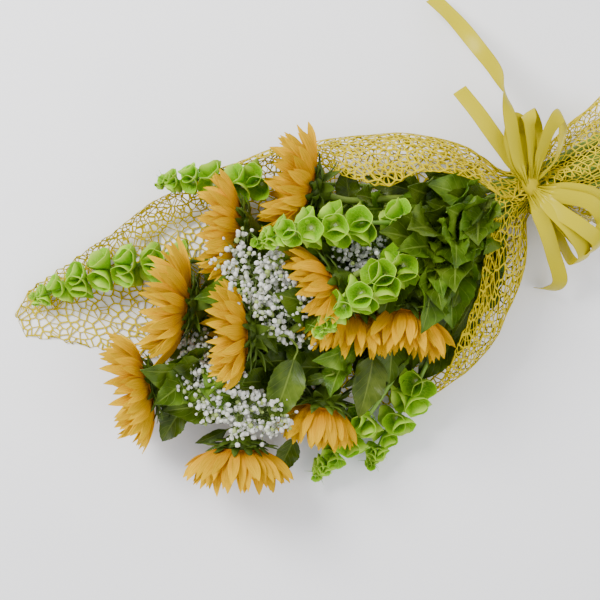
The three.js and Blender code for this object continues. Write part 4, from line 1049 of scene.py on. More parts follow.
def addBell(heap, root, facing, length, rim, draw):
    lobes = {"rim": rim, "count": bellShape["lobes"], "open": bellShape["open"],
             "deep": bellShape["deep"] * rim / 16, "turn": draw() * 6}
    profile = [(a * length, r * rim) for a, r in bellProfile]
    turnedShape(heap, root, facing, profile, bellShape["sides"], draw(), 0, lobes)
    small = rim * 0.09
    for k in range(4):                                 # the nutlets in the throat
        aside = turnAbout(unit(np.cross(facing, aslant)), facing, k * math.pi / 2)
        foot = root + facing * length * 0.28 + aside * small
        turnedShape(heap, foot, facing, [(0, small * 0.7), (small, small), (small * 2.1, 0)], 6, 0.5, 1)


bellTries = [(0, 0.75), (0.4, 0.75), (-0.4, 0.75), (0.8, 0.75), (-0.8, 0.75), (0, 1.6)]


def bellRim(root, facing, length, rim):
    reference = np.array([1.0, 0, 0]) if abs(facing[2]) > 0.9 else up
    side = unit(np.cross(facing, reference))
    other = np.cross(facing, side)
    angles = [2 * math.pi * k / 6 for k in (0, 2, 4)]
    return [root + facing * length + (side * math.cos(a) + other * math.sin(a)) * rim for a in angles]


def buildBells(n, whorls, stem):
    heap = newHeap()
    draw, extra = twoDraws("bells", n)
    course = stem["points"][:stem["fixed"]]
    length = evenShares(course, [1])[1]
    tubeShape(heap, stem["points"], [0.8, 2.2] + [stemRadius["bells"]] * 8, 8, 0.5, 2, rings=60)
    along = 0
    mouths = []

    def putBell(root, facing, long, wide):
        addBell(heap, root, facing, long, wide, extra)
        mouths.append(root + facing * long)

    for whorl in range(whorls + 2):
        past = whorl > whorls                          # one more whorl than the frame's, at the course's end
        if along >= length and not past:
            continue
        size = min(1, 0.34 + whorl * 0.2)
        long, wide = bell["length"] * size, bell["rim"] * size
        spot, heading = pointAndHeading(course, 1 if past else min(along / length, 1))
        tangent = -heading
        firstTurn = draw() * 2 * math.pi
        for k in range(0 if past else bell["perWhorl"]):
            for twist, lean in bellTries:
                aside = squareTo(tangent, firstTurn + 2 * math.pi * k / bell["perWhorl"] + twist)
                facing = unit(aside + tangent * lean)
                root = spot - facing * 0.5
                if liesOn(stem["name"], bellRim(root, facing, long, wide)):
                    putBell(root, facing, long, wide)
                    break
        long, wide = long * 1.05, wide * 1.08
        for k in range(bellShape["more"]):
            aside = squareTo(tangent, firstTurn + 2 * math.pi * (k + 0.3 * extra()) / bellShape["more"])
            facing = unit(aside + tangent * (0.45 + 0.4 * extra()) + up * 0.35)
            root = spot + tangent * (extra() - 0.5) * 10 + facing * 0.5
            mouth = root + facing * long
            low = mouth[2] - wide * 0.7 < 3
            if low or any(np.linalg.norm(mouth - other) < wide * 0.95 for other in mouths):
                continue
            if min(room(p) for p in bellRim(root, facing, long * 1.04, wide) + [mouth]) > 1:
                putBell(root, facing, long, wide)
                added.append((mouth - facing * long * 0.35, wide * 0.8))
        for k in range(bellShape["spines"]):
            aside = squareTo(tangent, firstTurn + math.pi / bell["perWhorl"] + k * 1.26)
            longer = bellShape["spineLonger"] if k else 1
            tip = spot + unit(aside + tangent * 0.5) * spine["length"] * (0.5 + 0.5 * size) * longer
            if k == 0 or room(tip) > 1.5:
                tubeShape(heap, [spot, (spot + tip) / 2, tip], [spine["radius"], 0.5, 0.1], 5, 0.5, 2)
        along += 9 + 26 * size
    tipPoint, heading = pointAndHeading(course, 0)
    for k in range(bellShape["atTip"]):
        facing = unit(squareTo(heading, k * 2.4) * (0.5 + 0.06 * k) - heading)
        root = tipPoint + heading * (2 + 1.4 * k)
        if (root + facing * 10)[2] > 6:                # it would touch the table
            addBell(heap, root, facing, 6 + 0.85 * k, 3.6 + 0.6 * k, extra)
    say(f"bells of stem {n + 1}: {len(mouths)}")
    makePiece(f"bells_{n + 1}", heap, [bellMaterial, nutletMaterial, bellStemMaterial], stem["name"])


# Baby's breath
breathShape = {
    "branches": [120, 130, 40],        # forked branches of each spray
    "twigs": 5,                        # florets on each
    "size": [1.7, 3.7],                # radius of a floret
    "twigLength": [6, 21],
    "wider": 1.35,                     # reach of the branches against the frame's
    "stalk": 0.32,
}


def addFloret(heap, centre, radius, draw):
    points, faces = puff
    rough = np.array([0.72 + 0.5 * draw() for _ in range(len(points))])[:, None]
    squash = np.array([1, 1, 0.82])
    addShape(heap, centre + points * squash * radius * rough, faces, [(0.5, 0.5)] * len(points), draw(), 0)


# The way that a branch leaves the spray, by its turn round it
def sprayWay(turn):
    return np.array([math.cos(turn), math.sin(turn) * 0.9, 0.35 + 0.3 * math.sin(2 * turn)])


def addStalk(heap, start, end, radii, sides):
    tubeShape(heap, [start, (start + end) / 2, end], radii, sides, 0.5, 1)


def buildBreath(n, florets, reachMost, stem):
    heap = newHeap()
    draw, extra = twoDraws("breath", n)
    course = stem["points"][:stem["fixed"]]
    tubeShape(heap, stem["points"], [0.7, 1.1] + [stemRadius["breath"]] * 8, 6, 0.5, 1, rings=60)
    kept, more = 0, 0
    for k in range(florets):
        share = (k + draw()) / florets
        root = pointAndHeading(course, min(share + 0.06, 1))[0]
        ahead = pointAndHeading(course, share)[1]
        firstTurn = draw() * 2 * math.pi
        reach = reachMost * (0.35 + 0.65 * draw())
        for attempt in range(8):
            heading = unit(sprayWay(firstTurn + attempt * 2.4) - ahead * 0.45)
            end = root + heading * reach * (1 if attempt < 4 else 0.7)
            if liesOn(stem["name"], [end + heading * floret["depth"]]):
                addFloret(heap, end, floret["radius"] * 1.02, extra)
                addStalk(heap, root, end, [0.5, 0.4, 0.3], 4)
                kept += 1
                break
    most = breathShape["branches"][n]
    for _ in range(most * 3):
        if more >= most:
            break
        root, ahead = pointAndHeading(course, extra())
        heading = unit(sprayWay(extra() * 2 * math.pi) - ahead * 0.5 + up * 0.35)
        fork = root + heading * reachMost * breathShape["wider"] * (0.3 + 0.6 * extra())
        if room(fork) < 1.5 or fork[2] < 8:
            continue
        more += 1
        addStalk(heap, root, fork, [0.5, 0.4, 0.35], 4)
        for _ in range(breathShape["twigs"]):
            aside = np.array([extra() - 0.5, extra() - 0.5, extra() - 0.35])
            end = fork + unit(heading + aside * 2.2) * between(breathShape["twigLength"], extra())
            size = between(breathShape["size"], extra())
            if room(end) >= size * 0.6 and end[2] >= 6:
                addStalk(heap, fork, end, [breathShape["stalk"]] * 3, 3)
                addFloret(heap, end, size, extra)
    say(f"baby's breath {n + 1}: {kept} florets kept, {more} branches added")
    makePiece(f"breath_{n + 1}", heap, [breathMaterial, breathStemMaterial], stem["name"])


# Netting
net = {
    "cell": 10.6,              # across a cell of the flat web
    "strands": [1.6, 2.2, 3.0],    # widths of a strand
    "wall": 0.9,               # its thickness
    "stray": 0.85,             # how far the cells stray, as a share of their size
    "missing": 0.12,           # share of cells left out, so that their neighbours are larger
    "doubled": ([90, 200, 300], [0.16, 0.3, 0.45]),    # share of cells split in two, by x
    "shortest": 1.7,           # shortest strand
    "atTie": 1.05,             # width of web gathered at the tie, as a share of the widest
    "pleats": 11,
    "pleatDepth": [4.3, 8],    # at the tie and away from it
    "overlap": 15,             # how far the lips cross above the bunch beside the tie
    # how far each lip is folded back, by x
    "foldHigh": ([-352, -300, 0, 120, 250, 320, 478], [8, 50, 64, 90, 110, 18, 18]),
    "foldLow": ([60, 110, 250, 320, 478], [0, 34, 46, 18, 18]),
}


def wrapOutline(x):
    i = 0
    while i + 2 < len(wrapSections) and wrapSections[i + 1][0] < x:
        i += 1
    a, b = wrapSections[i], wrapSections[i + 1]
    share = (x - a[0]) / (b[0] - a[0])
    lowEdge, lowSide, highSide, highEdge = (between((vec(p), vec(q)), share) for p, q in zip(a[1:5], b[1:5]))
    floor, lift = (between(pair, share) for pair in zip(a[5:], b[5:]))

    def onFloor(part, z):
        return [between((lowSide[0], highSide[0]), part), z]

    def shoulder(p, q):
        return [(p[0] + q[0]) / 2 - (p[1] - q[1]) * shoulderBulge,
                max((p[1] + q[1]) / 2 + (p[0] - q[0]) * shoulderBulge, 0)]

    outline = [
        lowEdge, shoulder(lowEdge, lowSide), lowSide,
        onFloor(0.18, floor + lift), onFloor(0.5, floor), onFloor(0.82, floor + lift),
        highSide, shoulder(highSide, highEdge), highEdge,
    ]
    return [[x, y, z] for y, z in outline]


def wrapTable(xs, arounds):
    rows, lengths = [], []
    for x in xs:
        outline = wrapOutline(x)
        shares, length = evenShares(outline, arounds, 120)
        rows.append(curvePoints(outline, shares))
        lengths.append(length)
    table = np.array(rows)
    for _ in range(4):
        table[1:-1] = 0.25 * table[:-2] + 0.5 * table[1:-1] + 0.25 * table[2:]
    table[..., 2] = np.maximum(table[..., 2], 0)
    return table, np.array(lengths)


def sample(table, xs, arounds, x, around):
    fx = np.interp(x, xs, np.arange(len(xs)))
    fa = np.interp(around, arounds, np.arange(len(arounds)))
    i, k = np.minimum(fx.astype(int), len(xs) - 2), np.minimum(fa.astype(int), len(arounds) - 2)
    u, w = (fx - i)[:, None], (fa - k)[:, None]
    low = table[i, k] * (1 - w) + table[i, k + 1] * w
    high = table[i + 1, k] * (1 - w) + table[i + 1, k + 1] * w
    return low * (1 - u) + high * u


# The web's cells: the ground nearest to each strewn spot, with their shared corners
def webCells(first, last, halfWidth, draw):
    size = net["cell"]
    spots = []
    for column in range(int((last - first) / size / 0.87) + 5):
        x = first + (column - 2) * size * 0.87
        most = halfWidth(clamp(x, first, last), 1) + 2 * size
        for k in range(-int(most / size) - 1, int(most / size) + 2):
            chance = draw()
            if chance < net["missing"]:
                continue
            for _ in range(2 if chance > 1 - np.interp(x, *net["doubled"]) else 1):
                spots.append((x + (draw() - 0.5) * size * net["stray"],
                              (k + column % 2 / 2 + (draw() - 0.5) * net["stray"]) * size))
    spots, _, triangles = delaunay_2d_cdt([Vector(p) for p in spots], [], [], 0, 0.01)[:3]
    spots, triangles = np.array(spots), np.array(triangles)
    a, b, c = (spots[triangles[:, k]] for k in range(3))
    u, v = b - a, c - a
    cross = 2 * (u[:, 0] * v[:, 1] - u[:, 1] * v[:, 0])
    uu, vv = (u * u).sum(1), (v * v).sum(1)
    offset = [v[:, 1] * uu - u[:, 1] * vv, u[:, 0] * vv - v[:, 0] * uu]
    corners = a + np.stack(offset, axis=1) / cross[:, None]
    joined = list(range(len(corners)))                 # corners too close together become one

    def headOf(n):
        while joined[n] != n:
            n = joined[n]
        return n

    sharing, round_ = {}, [[] for _ in spots]
    for n, triangle in enumerate(triangles):
        for i in range(3):
            round_[triangle[i]].append(n)
            pair = tuple(sorted((triangle[i], triangle[(i + 1) % 3])))
            other = sharing.setdefault(pair, n)
            if other != n and np.linalg.norm(corners[n] - corners[other]) < net["shortest"]:
                joined[headOf(n)] = headOf(other)
    cells = []
    for spot, fan in zip(spots, round_):
        if not first < spot[0] < last or abs(spot[1]) > halfWidth(spot[0], spot[1]) or len(fan) < 3:
            continue
        fan = sorted(fan, key=lambda n: math.atan2(corners[n][1] - spot[1], corners[n][0] - spot[0]))
        cell = [headOf(n) for n in fan]
        cell = [n for i, n in enumerate(cell) if n != cell[i - 1]]
        if len(cell) > 2 and len(set(cell)) == len(cell):
            cells.append(cell)
    return corners, cells


# The flat web's points and the faces of its strands: a rim inside every cell, then the cell itself goes
def webStrands(corners, cells, kinds):
    mesh = bpy.data.meshes.new("net")
    mesh.from_pydata([[p, q, 0] for p, q in corners], [], cells)
    flat = addObject("net", mesh)
    makeActive(flat)
    for kind, width in enumerate(net["strands"]):
        bpy.ops.object.mode_set(mode="EDIT")
        bpy.ops.mesh.select_mode(type="FACE")
        bpy.ops.mesh.select_all(action="DESELECT")
        bpy.ops.object.mode_set(mode="OBJECT")
        chosen = [False] * len(flat.data.polygons)
        chosen[:len(kinds)] = [k == kind for k in kinds]
        flat.data.polygons.foreach_set("select", chosen)
        bpy.ops.object.mode_set(mode="EDIT")
        bpy.ops.mesh.inset(thickness=width / 2, use_individual=True, use_even_offset=False)
        bpy.ops.object.mode_set(mode="OBJECT")
    points, faces = readTemplate()
    return points, faces[len(cells):]


def eachUnit(rows):
    return rows / np.linalg.norm(rows, axis=-1, keepdims=True)


def buildNet():
    first, last = wrapSections[0][0], wrapSections[-1][0]
    xs, arounds = np.linspace(first, last, 150), np.linspace(0, 1, 141)
    table, lengths = wrapTable(xs, arounds)
    normals = eachUnit(np.cross(np.gradient(table, axis=1), np.gradient(table, axis=0)))
    widest = lengths.max()
    gathered = np.interp(xs, [60, 200, tie["x"], last], [0, 0.9 * widest, net["atTie"] * widest, widest])
    natural = np.maximum(lengths, np.where(xs > 60, gathered, 0))
    foldLow, foldHigh = (np.interp(xs, *net[lip]) for lip in ("foldLow", "foldHigh"))
    draw = seededDraw(seeds["net"])

    def halfWidth(p, side):
        return float(np.interp(p, xs, natural / 2 + (foldHigh if side > 0 else foldLow)))

    corners, cells = webCells(first, last, halfWidth, draw)
    kinds = [int(draw() * len(net["strands"])) for _ in cells]
    pq, faces = webStrands(corners, cells, kinds)

    x, q = np.clip(pq[:, 0], first, last), pq[:, 1]
    half = np.interp(x, xs, natural) / 2
    over = np.maximum(np.abs(q) - half, 0)             # what lies past the lip is folded back inside
    crossing = np.interp(x, [262, 292], [0, 1])
    inside = np.sign(q) * (np.minimum(np.abs(q), half) - over * (1 - crossing))
    around = 0.5 + inside / (2 * half)
    tight = np.clip(2.2 * (1 - np.interp(x, xs, lengths) / (2 * half)), 0, 1)
    pleat = np.sin(2 * math.pi * (net["pleats"] * around + 0.35 * np.sin(x / 37)))
    fromTie = np.clip((np.abs(x - tie["x"]) - 12) / 50, 0, 1)
    ripple = np.sin(x / 23 + 5 * around) * np.sin(x / 41 - 9 * around)
    deep = -0.8 + tight * (4.5 * fromTie - between(net["pleatDepth"], fromTie) * (1 + pleat) / 2)
    deep -= 1.6 * (1 + ripple) * np.interp(x, [-352, -250, 0], [0.3, 1, 1]) / 2
    deep -= np.minimum(over * 0.45, 5) * (1 - crossing)
    deep += np.sign(q) * np.minimum(over * 0.12, 1.6) * crossing
    near, end = (sample(table, xs, arounds, x, np.where(q > 0, 1 - way, way)) for way in (0.03, 0.0))
    points = sample(table, xs, arounds, x, around)
    points += sample(normals, xs, arounds, x, around) * deep[:, None]
    points += eachUnit(end - near) * (np.minimum(over, net["overlap"]) * crossing)[:, None]
    points[:, 2] = np.maximum(points[:, 2], net["wall"] / 2 + 0.1)

    heap = newHeap()
    addShape(heap, points, faces, np.stack([x / 100, q / 100], axis=1))
    ob = makePiece("web_net", heap, [netMaterial], "net_wrap")
    thicken(ob, net["wall"] / 1000)
    ob.data.calc_loop_triangles()
    area = sum(p.area for p in ob.data.polygons) / 2
    triangles = len(ob.data.loop_triangles)
    say(f"net {triangles} triangles, {len(cells)} cells, area {area:.3f} m2, widest {widest:.0f} mm")


# Ribbon
ribbonLook = {
    "pleat": 2.6, "cup": 0.8, "flutter": 1.2, "flutterLength": 19,
    "turns": 2, "steps": 72, "across": 6,              # the band round the tie
    "knotCreases": 0.05,
    "inKnot": 90,                                      # length of ribbon that the knot takes
}


def stripRings(out, back, path):
    points = [vec(knot["at"]) + vec(out)] + [vec(p[:3]) for p in path]
    rolls = [path[0][3]] + [p[3] for p in path]
    if back:
        points.append(vec(knot["at"]) + vec(back))
        rolls.append(rolls[-1])
    points = np.array(points)
    length = evenShares(points, [1])[1]
    steps = int(length / ribbon["step"] + 0.5)
    shares = evenShares(points, np.linspace(0, 1, steps + 1))[0]
    side, turned, sides = None, 0, []
    for t in shares:
        tangent = headingAt(points, t)
        roll = math.radians(np.interp(t * (len(rolls) - 1), range(len(rolls)), rolls))
        if side is None:
            side = np.cross(up, tangent)
        side = turnAbout(unit(side - tangent * (side @ tangent)), tangent, roll - turned)
        turned = roll
        sides.append(side)
    return points, np.array(sides), length


def addStrip(heap, out, back, path):
    points, sides, length = stripRings(out, back, path)
    s, v, deep = stripBlade["along"], stripBlade["across"], stripBlade["deep"]
    shares = evenShares(points, s[:, 0])[0]
    ahead, behind = np.minimum(shares + 1e-3, 1), np.maximum(shares - 1e-3, 0)
    tangent = eachUnit(curvePoints(points, ahead) - curvePoints(points, behind))
    side = curvePoints(sides, s[:, 0])
    side = eachUnit(side - tangent * (side * tangent).sum(1, keepdims=True))
    spread = np.clip((np.minimum(s, 1 - s) if back else s) * length / ribbon["gather"], 0, 1)
    spread = spread * spread * (3 - 2 * spread)        # 0 in the knot, 1 where the ribbon has its full width
    half = between((ribbon["atKnot"], ribbon["width"]), spread) / 2
    rise = ribbonLook["pleat"] * (1 - spread) * np.sin(2.5 * math.pi * v + 0.6)
    rise += ribbonLook["cup"] * (1 - v**2) * spread
    rise += ribbonLook["flutter"] * spread * np.sin(s * length / ribbonLook["flutterLength"]) * v
    rise += deep * ribbon["thickness"] / 2
    points = curvePoints(points, shares) + side * v * half + np.cross(tangent, side) * rise
    points[:, 2] = np.maximum(points[:, 2], 0.5)
    addShape(heap, points, stripBlade["faces"], np.hstack([s * length / 20, (v + 1) / 2]))
    return length


def addBand(heap, wrap, inner):
    places = np.linspace(-1, 1, ribbonLook["across"] + 1)
    section = [(v, 0) for v in places] + [(v, 1) for v in places[::-1]]
    points, uv = [], []
    for a in circle(ribbonLook["steps"]):
        shift = (wrap - 0.5) * 2.4 + 0.5 * math.sin(5 * a + 2 * wrap)
        for v, wall in section:
            crease = 0.45 * math.cos(2.5 * math.pi * v + a * 2) + 0.35 * wrap
            r = inner + 0.3 + crease * 0.6 + wall * ribbon["thickness"]
            x = tie["x"] + shift + v * ribbon["band"] * 0.42
            points.append([x, r * math.cos(a), tie["z"] + r * math.sin(a)])
            uv.append((a * inner / 20, (v + 1) / 2))
    addShape(heap, points, ringFaces(ribbonLook["steps"], len(section), closed=True), uv)


def buildRibbon():
    heap = newHeap()
    total = sum(addStrip(heap, *strip) for strip in ribbonStrips)
    inner = tie["radius"] + ribbon["overNet"]
    for wrap in range(ribbonLook["turns"]):
        addBand(heap, wrap, inner)
    points, faces = knotBall
    x, turn = points[:, 0], np.arctan2(points[:, 1], points[:, 2])
    creases = ribbonLook["knotCreases"] * np.sin(8 * x + 0.8 * np.sin(turn)) * np.sqrt(1 - x**2 * 0.8)
    points = points * (1 + creases)[:, None] * vec(knot["size"]) * [0.85, 1.25, 1] + vec(knot["at"])
    addShape(heap, points, faces, np.stack([turn, points[:, 0] * 0.05], axis=1))
    ob = makePiece("satin_ribbon", heap, [ribbonMaterial], "ribbon_bow", 40)
    bands = ribbonLook["turns"] * 2 * math.pi * (inner + 1) + ribbonLook["inKnot"]
    say(f"ribbon {total:.0f} mm in strips and {bands:.0f} mm in the band and knot")


# Materials. The linear colour of an sRGB hex value; a number is a grey, and a tuple is linear already
def colour(tone):
    if isinstance(tone, str):
        parts = [int(tone[i:i + 2], 16) / 255 for i in (0, 2, 4)]
        tone = (*[p / 12.92 if p <= 0.04045 else ((p + 0.055) / 1.055) ** 2.4 for p in parts], 1)
    return tone if isinstance(tone, tuple) else (tone, tone, tone, 1)


# Adds a node. Each input is a value, another node's socket, or a node, which stands for its first socket
def addNode(tree, kind, inputs, **settings):
    node = tree.nodes.new("ShaderNode" + kind)
    for key, value in settings.items():
        setattr(node, key, value)
    for key, source in inputs.items():
        if isinstance(source, (int, float, tuple)):
            node.inputs[key].default_value = source
        else:
            tree.links.new(getattr(source, "outputs", [source])[0], node.inputs[key])
    return node


def startMaterial(name):
    material = bpy.data.materials.new(name)
    material.use_nodes = True
    tree = material.node_tree
    tree.nodes.clear()
    coord = addNode(tree, "TexCoord", {})
    return material, tree, coord.outputs["Object"], coord.outputs["UV"]


# A face with its shine, and behind it the share of light that comes through
def endMaterial(tree, tone, through, face, bump=None, bumpedGlow=False):
    normal = {"Normal": bump} if bump is not None else {}
    surface = addNode(tree, "BsdfPrincipled", {"Base Color": tone, **face, **normal})
    if through:
        glow = addNode(tree, "BsdfTranslucent", {"Color": tone, **(normal if bumpedGlow else {})})
        surface = addNode(tree, "MixShader", {0: through, 1: surface, 2: glow})
    addNode(tree, "OutputMaterial", {"Surface": surface})


def shine(roughness, specular, **more):
    return {"Roughness": roughness, "Specular IOR Level": specular, **more}


def ramp(tree, factor, *stops):
    node = addNode(tree, "ValToRGB", {0: factor})
    elements = node.color_ramp.elements
    while len(elements) < len(stops):
        elements.new(0.5)
    for element, (position, tone) in zip(elements, stops):
        element.position = position
        element.color = colour(tone)
    return node


# Blends two colours; the Mix node has one A and B socket for each kind of value, and 6 and 7 are the colours
def blend(tree, factor, one, two, kind="MIX"):
    node = addNode(tree, "Mix", {0: factor, 6: one, 7: two}, data_type="RGBA", blend_type=kind)
    return node.outputs[2]


def maths(tree, operation, *terms, limit=False):
    return addNode(tree, "Math", dict(enumerate(terms)), operation=operation, use_clamp=limit)


def noise(tree, place, scale, detail, **more):
    return addNode(tree, "TexNoise", {"Vector": place, "Scale": scale, "Detail": detail, **more})


def bumped(tree, height, strength, distance, **settings):
    return addNode(tree, "Bump", {"Height": height, "Strength": strength, "Distance": distance}, **settings)


# The piece's tint, spread over a range from its least
def tintOf(tree, spread, least):
    tint = addNode(tree, "Attribute", {}, attribute_name="tint").outputs["Fac"]
    return maths(tree, "MULTIPLY_ADD", tint, spread, least)


def varied(tree, tone, value, **more):
    return addNode(tree, "HueSaturation", {"Color": tone, "Value": value, **more})


# Live ray petal: matt, thin enough to glow, with lengthwise streaks from the orange foot to the yellow tip
def petalOf(n, warmth):
    material, tree, _, uv = startMaterial(f"ray_petal_{n + 1}")
    split = addNode(tree, "SeparateXYZ", {0: uv})
    stretched = addNode(tree, "Mapping", {"Vector": uv, "Scale": (2.2, 26, 1), "Location": (n, 0, 0)})
    streak = noise(tree, stretched, 1.0, 4, Roughness=0.6)
    along = maths(tree, "ADD", maths(tree, "MULTIPLY_ADD", streak, 0.5, -0.25), split, limit=True)
    cool, warm = ("C68200", "E0AC00", "ECC600"), ("BE7400", "DC9E00", "E6B800")
    tones = [
        tuple(between(pair, warmth) for pair in zip(colour(one), colour(two))) for one, two in zip(cool, warm)
    ]
    streaked = maths(tree, "MULTIPLY_ADD", streak, 1.5, 0.14)
    tone = varied(tree, ramp(tree, along, *zip((0.05, 0.42, 0.95), tones)),
                  maths(tree, "ADD", tintOf(tree, 0.24, 0), streaked), Saturation=1.05)
    endMaterial(tree, tone, 0.3, shine(0.6, 0.1, IOR=1.35), bumped(tree, streak, 0.8, 0.001), bumpedGlow=True)
    return material


# Sunflower leaf: dull green with a pale midrib and side veins, and quilted between them
def leafOf():
    material, tree, place, uv = startMaterial("sunflower_leaf")
    split = addNode(tree, "SeparateXYZ", {0: uv})
    aside = maths(tree, "ABSOLUTE", maths(tree, "MULTIPLY_ADD", split.outputs["Y"], 2, -1))
    veinAt = maths(tree, "SUBTRACT", split, maths(tree, "MULTIPLY", aside, 0.3))
    wave = maths(tree, "COSINE", maths(tree, "MULTIPLY", veinAt, 2 * math.pi * leafShape["veins"]))
    sideVeins = ramp(tree, maths(tree, "MULTIPLY", wave, -0.5), (0, 0), (0.465, 0), (0.5, 0.5))
    midrib = ramp(tree, aside, (0, 1), (0.035, 0.8), (0.075, 0))
    veins = blend(tree, 1.0, sideVeins, midrib, "LIGHTEN")
    base = ramp(tree, noise(tree, place, 38, 5), (0.3, "344E0C"), (0.52, "547416"), (0.75, "7A962E"))
    veined = blend(tree, maths(tree, "MULTIPLY", veins, 0.5), base, colour("9FBC50"))
    tone = varied(tree, veined, tintOf(tree, 0.8, 0.5), Hue=tintOf(tree, 0.03, 0.482))
    cells = addNode(tree, "TexVoronoi", {"Vector": place, "Scale": 420}, feature="DISTANCE_TO_EDGE")
    height = maths(tree, "SUBTRACT", maths(tree, "MULTIPLY", cells, 0.5), veins)
    endMaterial(tree, tone, 0.15, shine(0.31, 0.24, IOR=1.45), bumped(tree, height, 0.65, 0.001))
    return material


# Double floret: white and ruffled, with the youngest still green, and painted shade that darkens the creases
# between its ruffles
def floretOf():
    material, tree, place, _ = startMaterial("white_floret")
    ruffle = addNode(tree, "TexVoronoi", {"Vector": place, "Scale": 900})
    # painted shade: the ruffle pattern darkens the white towards grey-green in the creases between ruffles
    crease = ramp(tree, ruffle, (0.3, 1), (0.9, "E6E8DC"))
    age = ramp(tree, tintOf(tree, 1, 0), (0.08, "B9CC78"), (0.2, "F4F5EA"), (0.6, "FCFCFA"))
    tone = blend(tree, 1.0, age, crease, "MULTIPLY")
    bump = bumped(tree, ruffle, 0.8, 0.0012, invert=True)
    bump.inputs["Filter Width"].default_value = 0.1
    endMaterial(tree, tone, 0.3, shine(0.7, 0.2), bump)
    return material


# A plain plant surface: two tones in clouds, fine ridges, and a share of light let through
def plantOf(name, dark, light, scale, roughness, through, bumpDepth, stretch=(1, 1, 1), tinting=0.3):
    material, tree, place, uv = startMaterial(name)
    ridges = noise(tree, addNode(tree, "Mapping", {"Vector": uv, "Scale": stretch}), 8, 3)
    mixed = maths(tree, "MULTIPLY", maths(tree, "ADD", noise(tree, place, scale, 4), ridges), 0.5)
    base = ramp(tree, mixed, (0.35, dark), (0.65, light))
    tone = varied(tree, base, tintOf(tree, tinting, 1 - tinting / 2))
    endMaterial(tree, tone, through, shine(roughness, 0.3, IOR=1.45), bumped(tree, ridges, 0.4, bumpDepth))
    return material


# Calyx of bells of Ireland: thin and lime green, lit through, with a net of paler veins and a pale rim, and
# painted shade that darkens the green deep inside the cup
def bellOf():
    material, tree, place, uv = startMaterial("bell_calyx")
    veins = addNode(tree, "TexVoronoi", {"Vector": place, "Scale": 210}, feature="DISTANCE_TO_EDGE")
    line = ramp(tree, veins, (0, 1), (0.09, 0))
    outside = [(0, "74A800"), (0.4, "94CC08"), (0.56, "D6F060")]
    # inside the cup: the darker green at 0.86 is painted shade in the hollow; the pale stop at its bottom is
    # the throat
    inside = [(0.64, "96CE0C"), (0.86, "629C00"), (1, "D6E470")]
    base = ramp(tree, addNode(tree, "SeparateXYZ", {0: uv}).outputs["Y"], *outside, *inside)
    veined = blend(tree, maths(tree, "MULTIPLY", line, 0.4), base, colour("C6EA3C"))
    tone = varied(tree, veined, tintOf(tree, 0.3, 0.85))
    endMaterial(tree, tone, 0.35, shine(0.45, 0.3, IOR=1.43), bumped(tree, line, 0.35, 0.0004))
    return material


# Spun web of polyester: bright yellow, a little glossy where the strands are fused
def netOf():
    material, tree, place, _ = startMaterial("fused_web")
    tone = ramp(tree, noise(tree, place, 25, 2), (0.3, "CEB800"), (0.7, "DAC600"))
    face = shine(0.5, 0.1, IOR=1.5)
    endMaterial(tree, tone, 0.2, face, bumped(tree, noise(tree, place, 900, 3), 0.3, 0.0003))
    return material


# Double-faced satin: the warp lies along the ribbon, so its shine is drawn out across it
def ribbonOf():
    material, tree, _, uv = startMaterial("satin")
    threads = addNode(tree, "TexWave", {"Vector": uv, "Scale": 14, "Distortion": 0.6, "Detail": 1},
                      bands_direction="Y")
    split = addNode(tree, "SeparateXYZ", {0: uv})
    edge = maths(tree, "ABSOLUTE", maths(tree, "SUBTRACT", split.outputs["Y"], 0.5))
    selvage = ramp(tree, edge, (0.455, 0), (0.475, 1))
    tone = blend(tree, maths(tree, "MULTIPLY", selvage, 0.5), colour("C4B600"), colour("AC9600"))
    rise = maths(tree, "ADD", maths(tree, "MULTIPLY", threads.outputs["Fac"], 0.15), selvage)
    face = shine(0.27, 0.14, IOR=1.5, Anisotropic=0.6)
    endMaterial(tree, tone, 0.18, face, bumped(tree, rise, 0.2, 0.0002))
    return material


# Painted table, nearly white, with the faintest mottling
def tableOf():
    material, tree, place, _ = startMaterial("pale_table")
    tone = ramp(tree, noise(tree, place, 3, 3), (0.3, "F4F4F7"), (0.7, "F8F8FA"))
    endMaterial(tree, tone, 0, {"Roughness": 0.6})
    return material


petalMaterials = [petalOf(n, warmth) for n, warmth in enumerate(headWarmth)]
leafMaterial = leafOf()
stemMaterial = plantOf("hairy_stem", "5A7420", "84983C", 60, 0.6, 0.05, 0.0006, (0.3, 9, 1))
bractMaterial = plantOf("bract", "36480F", "566E1C", 90, 0.55, 0.1, 0.0005, (1, 8, 1))
discMaterial = plantOf("disc_florets", "2A1608", "6B4312", 300, 0.8, 0.0, 0.0004)
bellMaterial = bellOf()
nutletMaterial = plantOf("nutlet", "B7C98A", "DDE6B4", 300, 0.5, 0.1, 0.0002)
bellStemMaterial = plantOf("bell_stem", "6F9636", "8DB74C", 80, 0.5, 0.1, 0.0004, (0.3, 6, 1))
breathMaterial = floretOf()
breathStemMaterial = plantOf("wiry_stalk", "5F7A3A", "86994F", 200, 0.6, 0.05, 0.0002)
netMaterial = netOf()
ribbonMaterial = ribbonOf()
tableMaterial = tableOf()


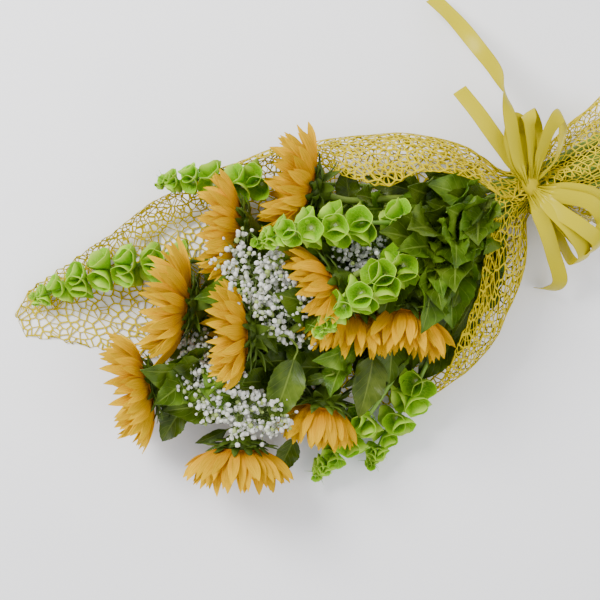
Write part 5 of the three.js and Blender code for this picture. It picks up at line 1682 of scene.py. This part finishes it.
# The whole bunch
say("settling the stems")
stems = settleStems()
byName = {stem["name"]: stem for stem in stems}
leaves = {stem["name"]: [] for stem in stems}
addShowLeaves()
addFillLeaves()
for n, (whorls, _) in enumerate(bellStems):
    buildBells(n, whorls, byName[f"bells_of_ireland_{n + 1}"])
addDenseLeaves()
for n, item in enumerate(heads):
    axes = headAxes(item)
    buildPetals(n, item, axes)
    buildDisc(n, axes)
    buildStalk(n, axes)
for n, (florets, reach, _) in enumerate(breathStems):
    buildBreath(n, florets, reach, byName[f"babys_breath_{n + 1}"])
buildNet()
buildRibbon()

# Table, light and camera: the camera looks straight down and is turned so that the bunch lies as photographed
lookAt = (layoutShift[0] / 1000, layoutShift[1] / 1000)
cameraHeight = 1.9
photoTurn = math.radians(-26)
photoRight = Vector((math.cos(photoTurn), math.sin(photoTurn), 0))
photoUp = Vector((-math.sin(photoTurn), math.cos(photoTurn), 0))

clearSelection()
bpy.ops.mesh.primitive_plane_add(size=9, location=(lookAt[0], lookAt[1], 0))
table = bpy.context.object
table.name = "table_top"
table.data.materials.append(tableMaterial)


def softLight(name, right, upward, height, size, power, tone):
    data = bpy.data.lights.new(name, "AREA")
    data.shape = "DISK"
    data.size = size
    data.energy = power
    data.color = colour(tone)[:3]
    light = addObject(name, data)
    centre = Vector((lookAt[0], lookAt[1], 0.05))
    light.location = centre + photoRight * right + photoUp * upward + Vector((0, 0, height))
    light.rotation_euler = (centre - light.location).to_track_quat("-Z", "Y").to_euler()


softLight("window", -1.5, 1.3, 1.9, 1.3, 112, "FFFEFC")
softLight("fill", 1.6, -0.6, 2.2, 2.4, 32, "FFFAF2")
world = bpy.data.worlds.new("studio")
world.use_nodes = True
sky = world.node_tree.nodes["Background"].inputs
sky["Color"].default_value = colour("F2F4F8")
sky["Strength"].default_value = 1.2
bpy.context.scene.world = world

cameraData = bpy.data.cameras.new("camera")
cameraData.sensor_width = 36
cameraData.lens = 84.92
camera = addObject("camera", cameraData)
camera.location = (lookAt[0], lookAt[1], cameraHeight)
camera.rotation_euler = (0, 0, photoTurn)
bpy.context.scene.camera = camera
